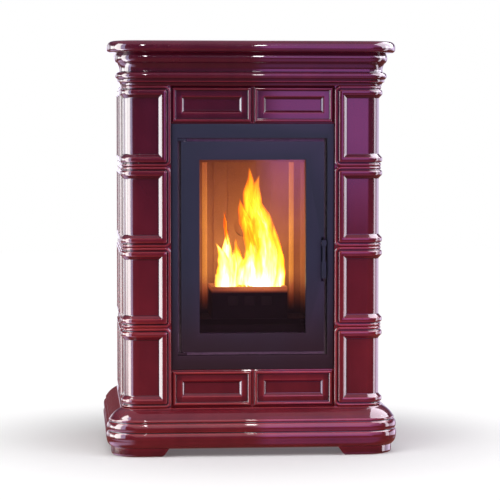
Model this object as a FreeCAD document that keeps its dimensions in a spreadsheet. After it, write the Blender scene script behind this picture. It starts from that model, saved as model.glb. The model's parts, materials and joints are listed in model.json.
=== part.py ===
import FreeCAD, Part
import math
import os

import Sketcher
from FreeCAD import Placement, Rotation, Vector

# A pellet stove clad in glazed ceramic. It stands on z = 0 and faces -Y, its middle is x = 0,
# and its depth is shared evenly about y = 0. All sizes are millimetres.

SIZES = {
    # whole stove
    "corner_radius": 45,
    "tile_thickness": 24,
    "casting_thickness": 16,
    "flue_out": 50,
    "sheet": 2,
    # play between pieces
    "running_clearance": 0.05,
    "free_clearance": 0.3,
    "seat_gap": 1,
    # plinth and its bracket feet
    "foot_height": 22,
    "foot_length": 122,
    "foot_slope": 20,
    "plinth_height": 105,
    "plinth_out": 45,
    "plinth_torus_height": 44,
    "plinth_under_cut": 15,
    "plinth_over_cut": 6,
    "plinth_bead_height": 24,
    "plinth_bead_out": 39,
    "plinth_top_out": 6,
    "plinth_ogee_radius": 60,
    "foot_inset": 15,
    # columns of corner tiles, and the side tiles behind them
    "column_width": 129.5,
    "column_return": 129.5,
    "tile_border": 30,
    "panel_recess": 8,
    "roll_radius": 8,
    "roll_inset": 20,
    # frieze tiles above and below the door
    "carcass_gap": 3,
    "frieze_height": 101.5,
    "frieze_setback": 12,
    "frieze_border": 26,
    "frieze_bead_inset": 6,
    "frieze_bead_width": 9,
    "frieze_bead_out": 4,
    # cornice and top slab
    "cornice_height": 88,
    "cornice_torus_at": 17,
    "cornice_torus_height": 18,
    "cornice_torus_out": 10,
    "cornice_cove_height": 20,
    "cornice_cove_depth": 4,
    "cornice_ovolo_out": 14,
    "slab_height": 30,
    "slab_out": 38,
    "slab_top_round": 16,
    "slab_bottom_round": 9,
    # steel carcass
    "tray_bottom": 40,
    "tray_sheet": 3,
    "front_sheet": 3,
    "leveller_inset": 40,
    "leveller_pad_radius": 18,
    "leveller_pad_height": 10,
    "leveller_stud_radius": 5,
    "louvre_length": 120,
    "louvre_height": 6,
    "louvre_pitch": 16,
    "screw_head_radius": 5,
    "screw_head_height": 2.5,
    "screw_inset": 12,
    # door surround and door
    "surround_setback": 10,
    "surround_band": 38,
    "surround_side_band": 17.5,
    "surround_gap": 1,
    "door_width": 383,
    "door_height": 563,
    "door_gap": 9,
    "door_thickness": 22,
    "door_border": 49,
    "seal_gap": 6,
    "seal_width": 10,
    "seal_inset": 11,
    "seal_land": 2.5,
    "glass_thickness": 4,
    "glass_lap": 10,
    "clip_length": 24,
    "clip_width": 18,
    "clip_thickness": 2,
    "hinge_inset": 8,
    "hinge_pin_radius": 3,
    "hinge_pin_depth": 14,
    "hinge_bracket_height": 6,
    "hinge_bracket_length": 24,
    "hinge_bracket_width": 18,
    # handle lever at the door's free edge
    "handle_pivot_up": 9,
    "handle_top": 8,
    "handle_length": 102,
    "handle_width": 12,
    "handle_shank_width": 7,
    "handle_grip_length": 44,
    "handle_depth": 14,
    "handle_proud": 8,
    "handle_notch_depth": 8,
    "handle_pin_radius": 2.5,
    "handle_pin_hold": 12,
    "tongue_reach": 16,
    "tongue_height": 8,
    "tongue_width": 5,
    "keeper_height": 6,
    "keeper_depth": 8,
    # firebox and what it holds
    "fire_depth": 256,
    "fire_wall": 4,
    "liner_thickness": 12,
    "liner_rib_width": 14,
    "liner_rib_pitch": 40,
    "liner_rib_out": 4,
    "liner_top_gap": 34,
    "baffle_thickness": 6,
    "baffle_depth": 170,
    "stand_shelf_up": 54,
    "stand_shelf_thickness": 3,
    "stand_width": 206,
    "stand_depth": 160,
    "stand_height": 70,
    "stand_wall": 4,
    "stand_back_gap": 8,
    "stand_slot_width": 28,
    "stand_slot_height": 26,
    "stand_slot_drop": 8,
    "stand_slot_pitch": 46,
    "brazier_rim": 16,
    "brazier_wall": 6,
    "brazier_height": 78,
    "brazier_hole_radius": 4,
    "brazier_hole_pitch": 22,
    "drawer_height": 46,
    "drawer_wall": 2,
    "drawer_side_gap": 14,
    "drawer_front_gap": 12,
    "drawer_depth": 200,
    "igniter_radius": 5,
    "igniter_length": 62,
    "igniter_up": 30,
    # pellet feed
    "hopper_width": 380,
    "hopper_depth": 200,
    "hopper_gap": 15,
    "hopper_rear_gap": 7,
    "hopper_taper_height": 130,
    "auger_up": 300,
    "auger_block": 72,
    "auger_bore_radius": 29,
    "auger_inlet_width": 48,
    "auger_inlet_depth": 84,
    "auger_inlet_gap": 14,
    "auger_back_wall": 8,
    "flight_radius": 27,
    "flight_thickness": 4,
    "flight_pitch": 45,
    "auger_shaft_radius": 9,
    "motor_width": 64,
    "motor_depth": 46,
    "motor_height": 84,
    # hopper lid
    "lid_gap": 2,
    "lid_lap": 5,
    "lid_skin": 3,
    "lid_rim": 5,
    "lid_rail": 14,
    "lid_drop": 2,
    "lid_lift": 2.5,
    "lid_ear_width": 7,
    "lid_ear_length": 20,
    "lid_pin_radius": 3,
    "lid_pin_inset": 6,
    "lid_pin_down": 6,
    # exhaust fan and flue
    "flue_radius": 40,
    "flue_wall": 1.5,
    "spigot_step": 1,
    "fan_radius": 75,
    "fan_wall": 3,
    "fan_width": 86,
    "fan_across": -130,
    "fan_behind": 8,
    "fan_up": 208,
    "smoke_duct_width": 44,
    "smoke_duct_depth": 50,
    "impeller_radius": 60,
    "impeller_plate": 3,
    "impeller_width": 40,
    "impeller_hub_radius": 12,
    "blade_thickness": 2,
    "fan_shaft_radius": 5,
    "fan_motor_radius": 35,
    "fan_motor_length": 60,
    "fan_shaft_hold": 30,
    # combustion air
    "air_radius": 25,
    "air_wall": 1.5,
    "air_across": 110,
    "air_up": 36,
    "air_out": 35,
    # room-air fan in the base tray
    "blower_left": -40,
    "blower_length": 270,
    "blower_gap": 61,
    "blower_depth": 100,
    "blower_height": 100,
    "blower_wall": 2,
    "rotor_radius": 38,
    "rotor_disc": 2,
    "rotor_shaft_radius": 4,
    "rotor_end_gap": 6,
    "rotor_blade_depth": 10,
    # control panel and mains inlet
    "panel_gap": 33,
    "panel_width": 84,
    "panel_depth": 64,
    "panel_drop": 3,
    "button_radius": 7,
    "button_height": 9,
    "button_proud": 1.6,
    "button_room": 2,
    "button_pitch": 22,
    "inlet_across": 230,
    "inlet_up": 190,
    "inlet_width": 84,
    "inlet_height": 36,
    "inlet_depth": 24,
    "inlet_lip": 4,
    "inlet_lip_out": 3,
    "socket_width": 26,
    "socket_height": 18,
    "socket_depth": 16,
    "rocker_width": 14,
    "rocker_height": 22,
    "rocker_depth": 9,
    "rocker_room": 1,
    "rocker_proud": 2,
    "rocker_pin_radius": 1.5,
}

COURSES = 4
SIDE_TILE_COLUMNS = 2
IMPELLER_BLADES = 10
ROTOR_BLADES = 16
LOUVRES = 9
SCREWS_EACH_SIDE = 5
BRAZIER_HOLES = (7, 5)
LEFT, RIGHT = -1, 1

doc = FreeCAD.newDocument("pellet_stove")
sheet = doc.addObject("Spreadsheet::Sheet", "sizes")
for row, (alias, number) in enumerate(SIZES.items(), start=1):
    sheet.set(f"A{row}", alias)
    sheet.set(f"B{row}", str(number))
    sheet.setAlias(f"B{row}", alias)
doc.recompute()


class Length:
    """A length: its number now, and the expression that keeps it tied to the sheet."""

    def __init__(self, value, text):
        self.value = value
        self.text = text

    def joined(self, sign, other, value):
        return Length(value, f"({self.text} {sign} {other.text})")

    def __add__(self, other):
        other = as_length(other)
        return self.joined("+", other, self.value + other.value)

    def __sub__(self, other):
        other = as_length(other)
        return self.joined("-", other, self.value - other.value)

    def __mul__(self, other):
        other = as_length(other)
        return self.joined("*", other, self.value * other.value)

    def __truediv__(self, other):
        other = as_length(other)
        return self.joined("/", other, self.value / other.value)

    def __radd__(self, other):
        return as_length(other) + self

    def __rsub__(self, other):
        return as_length(other) - self

    def __rmul__(self, other):
        return as_length(other) * self

    def __neg__(self):
        return as_length(0) - self


def as_length(number):
    if isinstance(number, Length):
        return number
    return Length(float(number), f"({float(number)})")


class Sizes:
    """The sheet's cells as lengths, each under its alias."""

    def __getattr__(self, alias):
        return Length(float(getattr(sheet, alias)), f"sizes.{alias}")


s = Sizes()


def tie(item, prop, length):
    item.setExpression(prop, as_length(length).text)


# Planes that many pieces share, worked out from the door outwards.
door_side = s.door_width / 2
surround_half_height = s.door_height / 2 + s.door_gap + s.surround_band
course_height = 2 * (surround_half_height + s.frieze_height) / COURSES
column_inner = door_side + s.door_gap + s.surround_side_band + s.surround_gap
half = column_inner + s.column_width
inner = half - s.tile_thickness

front_stack = s.surround_setback + s.door_thickness + s.seal_gap + s.front_sheet
back_stack = s.fire_wall + s.hopper_gap + s.hopper_depth + s.hopper_rear_gap + s.sheet
overall_depth = s.plinth_out + front_stack + s.fire_depth + back_stack + s.flue_out
front = s.plinth_out - overall_depth / 2
rear = overall_depth / 2 - s.flue_out
tile_back = front + s.tile_thickness
return_end = front + s.column_return
carcass_front = tile_back + s.carcass_gap
carcass_rear = rear - s.sheet
door_front = front + s.surround_setback
door_back = door_front + s.door_thickness
fire_face = door_back + s.seal_gap
fire_front = fire_face + s.front_sheet
fire_back = fire_front + s.fire_depth

plinth_top = s.foot_height + s.plinth_height
cornice_bottom = plinth_top + COURSES * course_height
slab_bottom = cornice_bottom + s.cornice_height
slab_top = slab_bottom + s.slab_height
middle = plinth_top + COURSES * course_height / 2
carcass_top = slab_bottom - s.tray_sheet
door_bottom = middle - s.door_height / 2
door_top = middle + s.door_height / 2
seal_reach = s.seal_inset + s.seal_width + s.seal_land
fire_side = door_side - seal_reach
fire_floor = door_bottom + seal_reach
fire_roof = door_top - seal_reach

TURNS = {"x": Rotation(Vector(0, 1, 0), 90), "y": Rotation(Vector(1, 0, 0), -90), "z": Rotation()}


def block(name, x, y, z):
    """A box between two X planes, two Y planes and two Z planes."""
    box = doc.addObject("Part::Box", name)
    for prop, axis, (low, high) in zip(("Length", "Width", "Height"), "xyz", (x, y, z)):
        tie(box, prop, high - low)
        tie(box, f"Placement.Base.{axis}", low)
    return box


def rod(name, axis, start, end, centre, radius):
    """A cylinder along one axis; centre holds its other two coordinates, in X, Y, Z order."""
    cylinder = doc.addObject("Part::Cylinder", name)
    cylinder.Placement = Placement(Vector(), TURNS[axis])
    tie(cylinder, "Radius", radius)
    tie(cylinder, "Height", end - start)
    others = [letter for letter in "xyz" if letter != axis]
    for letter, place in zip((axis, *others), (start, *centre)):
        tie(cylinder, f"Placement.Base.{letter}", place)
    return cylinder


def fused(name, *items):
    union = doc.addObject("Part::MultiFuse", name)
    union.Shapes = list(items)
    return union


def minus(name, base, *tools):
    cutter = tools[0] if len(tools) == 1 else fused(f"{name}_cutters", *tools)
    cut = doc.addObject("Part::Cut", name)
    cut.Base = base
    cut.Tool = cutter
    return cut


def grouped(name, *items):
    group = doc.addObject("Part::Compound", name)
    group.Links = list(items)
    return group


def across_middle(width):
    return (-width, width)


# Sketches. A corner is (across, up), or (across, up, radius) where an arc leads on to the next
# corner: a positive radius turns anticlockwise, a negative one clockwise.

def sketch_on(body, name, role, shift=0):
    sketch = body.newObject("Sketcher::SketchObject", name)
    plane = next(item for item in body.Origin.OriginFeatures if item.Role == role)
    sketch.AttachmentSupport = [(plane, "")]
    sketch.MapMode = "FlatFace"
    tie(sketch, "AttachmentOffset.Base.z", shift)
    return sketch


def arc_between(start, end, radius):
    chord = end - start
    reach = math.sqrt(max(radius * radius - chord.Length ** 2 / 4, 0))
    left = Vector(-chord.y, chord.x, 0).normalize()
    centre = (start + end) * 0.5 + left * math.copysign(reach, radius)
    first, last = (start, end) if radius > 0 else (end, start)
    circle = Part.Circle(centre, Vector(0, 0, 1), abs(radius))
    return Part.ArcOfCircle(circle, circle.parameter(first), circle.parameter(last))


def draw(sketch, corners, closed=True):
    """Draw an outline, then tie each of its corners and radii to the sheet."""
    base = sketch.GeometryCount
    spots = [Vector(as_length(corner[0]).value, as_length(corner[1]).value, 0) for corner in corners]
    steps = len(corners) if closed else len(corners) - 1
    ends = []
    for step in range(steps):
        here, there = spots[step], spots[(step + 1) % len(corners)]
        radius = as_length(corners[step][2]) if len(corners[step]) > 2 else None
        if radius is None:
            sketch.addGeometry(Part.LineSegment(here, there), False)
        else:
            sketch.addGeometry(arc_between(here, there, radius.value), False)
        ends.append((2, 1) if radius is not None and radius.value < 0 else (1, 2))

    def hold(kind, *where, length):
        index = sketch.addConstraint(Sketcher.Constraint(kind, *where, as_length(length).value))
        tie(sketch, f"Constraints[{index}]", length)

    for step in range(steps if closed else steps - 1):
        after = (step + 1) % steps
        sketch.addConstraint(
            Sketcher.Constraint("Coincident", base + step, ends[step][1], base + after, ends[after][0]))
    for index, corner in enumerate(corners):
        step = min(index, steps - 1)
        end = ends[step][0] if index < steps else ends[step][1]
        hold("DistanceX", -1, 1, base + step, end, length=corner[0])
        hold("DistanceY", -1, 1, base + step, end, length=corner[1])
    for step in range(steps):
        if len(corners[step]) > 2:
            radius = as_length(corners[step][2])
            hold("Radius", base + step, length=radius if radius.value > 0 else -radius)
    return sketch


def new_body(name):
    return doc.addObject("PartDesign::Body", name)


def pad(body, name, sketch, length, backwards=False):
    feature = body.newObject("PartDesign::Pad", name)
    feature.Profile = sketch
    feature.Reversed = backwards
    tie(feature, "Length", length)
    return feature


def pocket(body, name, sketch, length, backwards=False):
    feature = body.newObject("PartDesign::Pocket", name)
    feature.Profile = sketch
    feature.Reversed = backwards
    tie(feature, "Length", length)
    return feature


def pipe(body, name, profile, spine):
    feature = body.newObject("PartDesign::AdditivePipe", name)
    feature.Profile = profile
    feature.Spine = (spine, [f"Edge{number + 1}" for number in range(spine.GeometryCount)])
    return feature


# Mouldings. A profile corner is (out, up): out is measured from the body's outer face.

def profile_corners(profile, side):
    """A moulding's section on one side of the stove."""
    corners = []
    for out, up, *radius in profile:
        corners.append((side * (half + out), up, *[side * as_length(length) for length in radius]))
    return corners


def front_path(body, name, end=None):
    """Round the front: up one side, round both corners, and back down the other side."""
    stop = return_end if end is None else end
    turn = s.corner_radius
    spine = sketch_on(body, name, "XY_Plane")
    return draw(spine, [
        (-half, stop), (-half, front + turn, turn), (turn - half, front),
        (half - turn, front, turn), (half, front + turn), (half, stop)], closed=False)


def corner_path(body, name, side, length):
    """Round one front corner only, the same length along the front and the side."""
    turn = s.corner_radius
    spine = sketch_on(body, name, "XY_Plane")
    return draw(spine, [
        (side * half, front + length), (side * half, front + turn, -side * turn),
        (side * (half - turn), front), (side * (half - length), front)], closed=False)


def front_moulding(name, profile):
    """A moulding that goes round the front and ends where the corner tiles end."""
    body = new_body(name)
    plane = sketch_on(body, f"{name}_section", "XZ_Plane", -return_end)
    section = draw(plane, profile_corners(profile, LEFT))
    pipe(body, f"{name}_sweep", section, front_path(body, f"{name}_path"))
    return body


def side_moulding(name, profile, side):
    """The straight run of the same moulding, back to the rear panel."""
    body = new_body(name)
    plane = sketch_on(body, f"{name}_section", "XZ_Plane", -return_end)
    section = draw(plane, profile_corners(profile, side))
    pad(body, f"{name}_run", section, rear - return_end, backwards=True)
    return body


def bulge_radius(sunk, rise):
    """The radius of an arc that leaves its tip upright and is sunk back after a rise."""
    return (sunk * sunk + rise * rise) / (2 * sunk)


def plinth_profile(back):
    """The plinth's section, from the casting's back, this far inside the body's face, outwards."""
    torus_top = s.foot_height + s.plinth_torus_height
    bead_top = torus_top + s.plinth_bead_height
    rise = s.plinth_torus_height / 2
    under = bulge_radius(s.plinth_under_cut, rise)
    over = bulge_radius(s.plinth_over_cut, rise - 2)
    return [
        (-back, s.foot_height), (s.plinth_out - s.plinth_under_cut, s.foot_height, under),
        (s.plinth_out, s.foot_height + rise, over), (s.plinth_out - s.plinth_over_cut, torus_top - 2),
        (s.plinth_bead_out, torus_top + 1, s.plinth_bead_height / 2 + 1),
        (s.plinth_bead_out - 2, bead_top - 1), (s.plinth_bead_out - 4, bead_top + 1, s.plinth_ogee_radius),
        (s.plinth_top_out, plinth_top), (-back, plinth_top)]


def cornice_profile(back):
    torus = cornice_bottom + s.cornice_torus_at
    torus_top = torus + s.cornice_torus_height
    cove = torus_top + 5
    cove_top = cove + s.cornice_cove_height
    fillet = s.cornice_torus_out - 1
    return [
        (-back, cornice_bottom), (1, cornice_bottom, -13),
        (fillet, torus - 7), (fillet, torus - 1),
        (s.cornice_torus_out, torus, s.cornice_torus_height / 2 + 1), (s.cornice_torus_out, torus_top),
        (s.cornice_cove_depth, torus_top + 2), (s.cornice_cove_depth, cove, -24),
        (s.cornice_cove_depth + 6, cove_top), (s.cornice_ovolo_out - 2, cove_top + 2, 18),
        (s.cornice_ovolo_out, slab_bottom - 4), (s.cornice_torus_out, slab_bottom),
        (-back, slab_bottom)]


def foot_profile(back):
    toe = s.plinth_out - s.foot_inset
    return [
        (-back, 0), (toe - 6, 0), (toe, 6), (toe, s.foot_height + 4), (-back, s.foot_height + 4)]


def slope_foot_end(body, name, near):
    """Slope the free bottom edge of a foot, at the plane that near picks."""
    doc.recompute()
    foot = body.Tip
    edges = [f"Edge{number}" for number, edge in enumerate(foot.Shape.Edges, start=1)
             if all(abs(vertex.Z) < 0.01 and near(vertex) for vertex in edge.Vertexes)]
    slope = body.newObject("PartDesign::Chamfer", name)
    slope.Base = (foot, edges)
    tie(slope, "Size", s.foot_slope)


def plinth_front():
    body = front_moulding("plinth_front", plinth_profile(s.casting_thickness))
    for side, word in ((LEFT, "left"), (RIGHT, "right")):
        section = sketch_on(body, f"{word}_foot_section", "XZ_Plane", -(front + s.foot_length))
        draw(section, profile_corners(foot_profile(s.casting_thickness), side))
        pipe(body, f"{word}_foot", section, corner_path(body, f"{word}_foot_path", side, s.foot_length))
        end = side * (half - s.foot_length).value
        slope_foot_end(body, f"{word}_foot_slope", lambda vertex: abs(vertex.X - end) < 0.01)
    return body


def plinth_sides():
    runs = []
    for side, word in ((LEFT, "left"), (RIGHT, "right")):
        body = side_moulding(f"plinth_{word}", plinth_profile(s.tile_thickness), side)
        section = sketch_on(body, f"{word}_rear_foot_section", "XZ_Plane", -(rear - s.foot_length))
        draw(section, profile_corners(foot_profile(s.tile_thickness), side))
        pad(body, f"{word}_rear_foot", section, s.foot_length, backwards=True)
        end = (rear - s.foot_length).value
        slope_foot_end(body, f"{word}_rear_foot_slope", lambda vertex: abs(vertex.Y - end) < 0.01)
        runs.append(body)
    return grouped("plinth_sides", *runs)


def cornice_sides():
    left = side_moulding("cornice_left", cornice_profile(s.tile_thickness), LEFT)
    right = side_moulding("cornice_right", cornice_profile(s.tile_thickness), RIGHT)
    return grouped("cornice_sides", left, right)


# Columns: corner tiles with a roll moulding above and below a sunk panel.

def corner_outline(side, out):
    """The plan of a corner tile whose outer faces stand out from the body's face by out."""
    turn = s.corner_radius
    return [
        (side * column_inner, front - out), (side * (half - turn), front - out, side * (turn + out)),
        (side * (half + out), front + turn), (side * (half + out), return_end),
        (side * inner, return_end), (side * inner, tile_back), (side * column_inner, tile_back)]


def corner_posts(side):
    """The plan of the upright bands: beside the door, and at the rear edge."""
    door_band = [
        (side * column_inner, front), (side * (column_inner + s.tile_border), front),
        (side * (column_inner + s.tile_border), tile_back), (side * column_inner, tile_back)]
    rear_band = [
        (side * half, return_end - s.tile_border), (side * half, return_end),
        (side * inner, return_end), (side * inner, return_end - s.tile_border)]
    return door_band, rear_band


def corner_tile(side, word, course):
    name = f"{word}_corner_tile_{course + 1}"
    bottom = plinth_top + course * course_height
    top = bottom + course_height
    body = new_body(name)
    plane = sketch_on(body, f"{name}_core_plan", "XY_Plane", bottom)
    core = draw(plane, corner_outline(side, -s.panel_recess))
    pad(body, f"{name}_core", core, course_height)
    for place, low in (("lower", bottom), ("upper", top - s.tile_border)):
        plane = sketch_on(body, f"{name}_{place}_plan", "XY_Plane", low)
        band = draw(plane, corner_outline(side, as_length(0)))
        pad(body, f"{name}_{place}_band", band, s.tile_border)
    posts = sketch_on(body, f"{name}_post_plan", "XY_Plane", bottom)
    for outline in corner_posts(side):
        draw(posts, outline)
    pad(body, f"{name}_posts", posts, course_height)
    for place, level in (("lower", bottom + s.roll_inset), ("upper", top - s.roll_inset)):
        section = sketch_on(body, f"{name}_{place}_roll_section", "YZ_Plane", side * column_inner)
        bury = front + 3
        reach = s.roll_radius - 1
        draw(section, [
            (bury, level - reach), (front, level - reach, -s.roll_radius), (front, level + reach),
            (bury, level + reach)])
        turn = s.corner_radius
        path = draw(sketch_on(body, f"{name}_{place}_roll_path", "XY_Plane"), [
            (side * column_inner, front), (side * (half - turn), front, side * turn),
            (side * half, front + turn), (side * half, return_end)], closed=False)
        pipe(body, f"{name}_{place}_roll", section, path)
    return body


def wall_block(name, facing, across, up, face, back):
    """A box on a wall, from the wall's face inwards to its back."""
    if facing == "front":
        return block(name, across, (face, back), up)
    return block(name, (back, face) if facing == "right" else (face, back), across, up)


def inset(span, length):
    low, high = span
    return (low + length, high - length)


def framed_tile(name, facing, across, up, face, back):
    """A flat tile: a raised bead round a border, and a sunk panel."""
    inwards = {"front": 1, "left": 1, "right": -1}[facing]
    crest = face - inwards * s.frieze_bead_out
    panel = face + inwards * s.panel_recess
    near = s.frieze_bead_inset
    far = s.frieze_bead_inset + s.frieze_bead_width
    plate = wall_block(f"{name}_plate", facing, across, up, face, back)
    bead = minus(
        f"{name}_bead",
        wall_block(f"{name}_bead_outer", facing, inset(across, near), inset(up, near), crest, face),
        wall_block(f"{name}_bead_inner", facing, inset(across, far), inset(up, far), crest, face))
    sunk = wall_block(
        f"{name}_panel", facing, inset(across, s.frieze_border), inset(up, s.frieze_border), face, panel)
    return minus(name, fused(f"{name}_raised", plate, bead), sunk)


def frieze(name, low, high):
    face = front + s.frieze_setback
    left = framed_tile(f"{name}_left", "front", (-column_inner, as_length(0)), (low, high), face, fire_face)
    right = framed_tile(f"{name}_right", "front", (as_length(0), column_inner), (low, high), face, fire_face)
    return grouped(name, left, right)


def side_tiles(side, word):
    width = (rear - return_end) / SIDE_TILE_COLUMNS
    tiles = []
    for course in range(COURSES):
        low = plinth_top + course * course_height
        for column in range(SIDE_TILE_COLUMNS):
            start = return_end + column * width
            tiles.append(framed_tile(
                f"{word}_side_tile_{course + 1}_{column + 1}", word, (start, start + width),
                (low, low + course_height), side * half, side * inner))
    return grouped(f"{word}_side_tiles", *tiles)


# Top slab, with a bay at the back for the hopper lid and a window for the control panel.

hopper_front = fire_back + s.fire_wall + s.hopper_gap
hopper_rear = hopper_front + s.hopper_depth
hopper_side = s.hopper_width / 2
lid_front = hopper_front - s.lid_gap
lid_rear = lid_front + s.hopper_depth
lid_side = hopper_side + s.lid_lap
ear_side = lid_side + s.seat_gap + s.lid_ear_width
bay_side = ear_side + s.lid_gap
bay_front = lid_front - s.lid_gap
lid_pin_y = lid_rear - s.lid_pin_inset
lid_top = slab_top - s.lid_drop
lid_pin_z = lid_top - s.lid_pin_down
panel_x = (bay_side + s.panel_gap, bay_side + s.panel_gap + s.panel_width)
panel_y = (bay_front + s.panel_gap, bay_front + s.panel_gap + s.panel_depth)


def top_slab():
    body = new_body("top_slab")
    tip = half + s.slab_out
    edge = front - s.slab_out
    turn = s.corner_radius + s.slab_out
    plan = draw(sketch_on(body, "slab_plan", "XY_Plane", slab_bottom), [
        (turn - tip, edge), (tip - turn, edge, turn), (tip, edge + turn), (tip, rear),
        (bay_side, rear), (bay_side, bay_front), (-bay_side, bay_front), (-bay_side, rear),
        (-tip, rear), (-tip, edge + turn, turn)])
    pad(body, "slab_plate", plan, s.slab_height)
    window = draw(sketch_on(body, "slab_window_plan", "XY_Plane", slab_bottom), [
        (panel_x[0] - s.free_clearance, panel_y[0] - s.free_clearance),
        (panel_x[1] + s.free_clearance, panel_y[0] - s.free_clearance),
        (panel_x[1] + s.free_clearance, panel_y[1] + s.free_clearance),
        (panel_x[0] - s.free_clearance, panel_y[1] + s.free_clearance)])
    pocket(body, "slab_window", window, s.slab_height, backwards=True)
    for name, level, radius in (("slab_thumb", slab_top, s.slab_top_round),
                                ("slab_under", slab_bottom, s.slab_bottom_round)):
        doc.recompute()
        plate = body.Tip
        rim = [f"Edge{number}" for number, shape in enumerate(plate.Shape.Edges, start=1)
               if on_rim(shape, level.value, tip.value, edge.value)]
        rounding = body.newObject("PartDesign::Fillet", name)
        rounding.Base = (plate, rim)
        tie(rounding, "Radius", radius)
    return body


def on_rim(edge, level, tip, front_edge):
    """True for the slab's outer edges at one level: the front, the two corners and the sides."""
    middle_point = edge.valueAt((edge.FirstParameter + edge.LastParameter) / 2)
    box = edge.BoundBox
    flat = abs(box.ZMin - level) < 0.01 and abs(box.ZMax - level) < 0.01
    on_side = abs(abs(middle_point.x) - tip) < 0.01
    on_front = abs(middle_point.y - front_edge) < 0.01
    return flat and (on_side or on_front or edge.Curve.TypeId == "Part::GeomCircle")


# Steel carcass.

def base_tray():
    box = block("tray_box", across_middle(inner), (carcass_front, carcass_rear), (s.tray_bottom, plinth_top))
    room = block(
        "tray_room", across_middle(inner - s.tray_sheet),
        (carcass_front + s.tray_sheet, carcass_rear - s.tray_sheet),
        (s.tray_bottom + s.tray_sheet, plinth_top))
    return minus("base_tray", box, room)


def levelling_feet():
    feet = []
    for side in (LEFT, RIGHT):
        for end, y in (("front", tile_back + s.leveller_inset), ("rear", carcass_rear - s.leveller_inset)):
            x = side * (inner - s.leveller_inset)
            name = f"leveller_{end}_{side + 1}"
            foot = rod(f"{name}_pad", "z", as_length(0), s.leveller_pad_height, (x, y), s.leveller_pad_radius)
            stud = rod(
                f"{name}_stud", "z", s.leveller_pad_height, s.tray_bottom, (x, y), s.leveller_stud_radius)
            feet.append(fused(name, foot, stud))
    return grouped("levelling_feet", *feet)


def inner_panel(side, word):
    outer, inside = side * inner, side * (inner - s.sheet)
    return block(
        f"{word}_inner_panel", (outer, inside) if side == LEFT else (inside, outer),
        (carcass_front, carcass_rear), (plinth_top, carcass_top))


def front_panel():
    plate = block(
        "front_plate", across_middle(inner - s.sheet), (fire_face, fire_front), (plinth_top, carcass_top))
    mouth = block("front_mouth", across_middle(fire_side), (fire_face, fire_front), (fire_floor, fire_roof))
    return minus("front_panel", plate, mouth)


# The flue and air tubes step up to their spigots behind the rear panel.
flue_z = s.fan_up - s.fan_radius + s.flue_radius
air_z = fire_floor + s.air_up
flue_tube_radius = s.flue_radius - s.spigot_step
air_tube_radius = s.air_radius - s.spigot_step
flue_bore_radius = flue_tube_radius - s.flue_wall
air_bore_radius = air_tube_radius - s.air_wall
inlet_x = (s.inlet_across - s.inlet_width / 2, s.inlet_across + s.inlet_width / 2)
inlet_z = (s.inlet_up - s.inlet_height / 2, s.inlet_up + s.inlet_height / 2)


def rear_panel():
    skin = (carcass_rear, rear)
    plate = block("rear_plate", across_middle(inner), skin, (s.tray_bottom, slab_bottom))
    flue_hole = rod("rear_flue_hole", "y", *skin, (s.fan_across, flue_z), flue_tube_radius + s.free_clearance)
    air_hole = rod("rear_air_hole", "y", *skin, (s.air_across, air_z), air_tube_radius + s.free_clearance)
    inlet_hole = block(
        "rear_inlet_hole", inset(inlet_x, -s.free_clearance), skin, inset(inlet_z, -s.free_clearance))
    louvres = []
    for number in range(LOUVRES):
        low = middle + number * s.louvre_pitch
        for side in (LEFT, RIGHT):
            start = side * inner / 2 - s.louvre_length / 2
            louvres.append(block(
                f"louvre_{number}_{side + 1}", (start, start + s.louvre_length), skin,
                (low, low + s.louvre_height)))
    return minus("rear_panel", plate, flue_hole, air_hole, inlet_hole, *louvres)


def panel_screws():
    heads = []
    span = slab_bottom - s.tray_bottom - 2 * s.screw_inset
    for side in (LEFT, RIGHT):
        for number in range(SCREWS_EACH_SIDE):
            z = s.tray_bottom + s.screw_inset + number * span / (SCREWS_EACH_SIDE - 1)
            heads.append(rod(
                f"screw_{number}_{side + 1}", "y", rear, rear + s.screw_head_height,
                (side * (inner - s.screw_inset), z), s.screw_head_radius))
    return grouped("panel_screws", *heads)


def top_frame():
    plate = block(
        "top_plate", across_middle(inner), (carcass_front, carcass_rear), (carcass_top, slab_bottom))
    mouth = block(
        "top_mouth", across_middle(hopper_side - s.sheet), (hopper_front + s.sheet, hopper_rear - s.sheet),
        (carcass_top, slab_bottom))
    ears = []
    for side in (LEFT, RIGHT):
        low, high = sorted((side * (lid_side + s.seat_gap), side * ear_side), key=lambda plane: plane.value)
        ear = block(
            f"lid_ear_plate_{side + 1}", (low, high), (lid_pin_y - s.lid_ear_length / 2, lid_rear),
            (slab_bottom, lid_top))
        hole = rod(f"lid_ear_hole_{side + 1}", "x", low, high, (lid_pin_y, lid_pin_z), s.lid_pin_radius)
        ears.append(minus(f"lid_ear_{side + 1}", ear, hole))
    return fused("top_frame", minus("top_ring", plate, mouth), *ears)


# Door and its surround.

def door_surround():
    outer = block(
        "surround_plate", across_middle(column_inner - s.surround_gap), (door_front, fire_face),
        (middle - surround_half_height, middle + surround_half_height))
    opening = block(
        "surround_opening", across_middle(door_side + s.door_gap), (door_front, fire_face),
        (door_bottom - s.door_gap, door_top + s.door_gap))
    return minus("door_surround", outer, opening)


hinge_x = s.hinge_inset - door_side
hinge_y = door_front + s.door_thickness / 2
window_side = door_side - s.door_border
window_bottom = door_bottom + s.door_border
window_top = door_top - s.door_border
handle_x = door_side + s.handle_width / 2 - s.handle_notch_depth + s.seat_gap
handle_pivot_z = middle + s.handle_pivot_up
handle_top_z = handle_pivot_z + s.handle_top
handle_bottom_z = handle_top_z - s.handle_length
handle_front = door_front - s.handle_proud
handle_back = handle_front + s.handle_depth
handle_pivot_y = handle_back - s.handle_depth / 4
tongue_x = (door_side + s.seat_gap, door_side + s.seat_gap + s.tongue_width)


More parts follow.
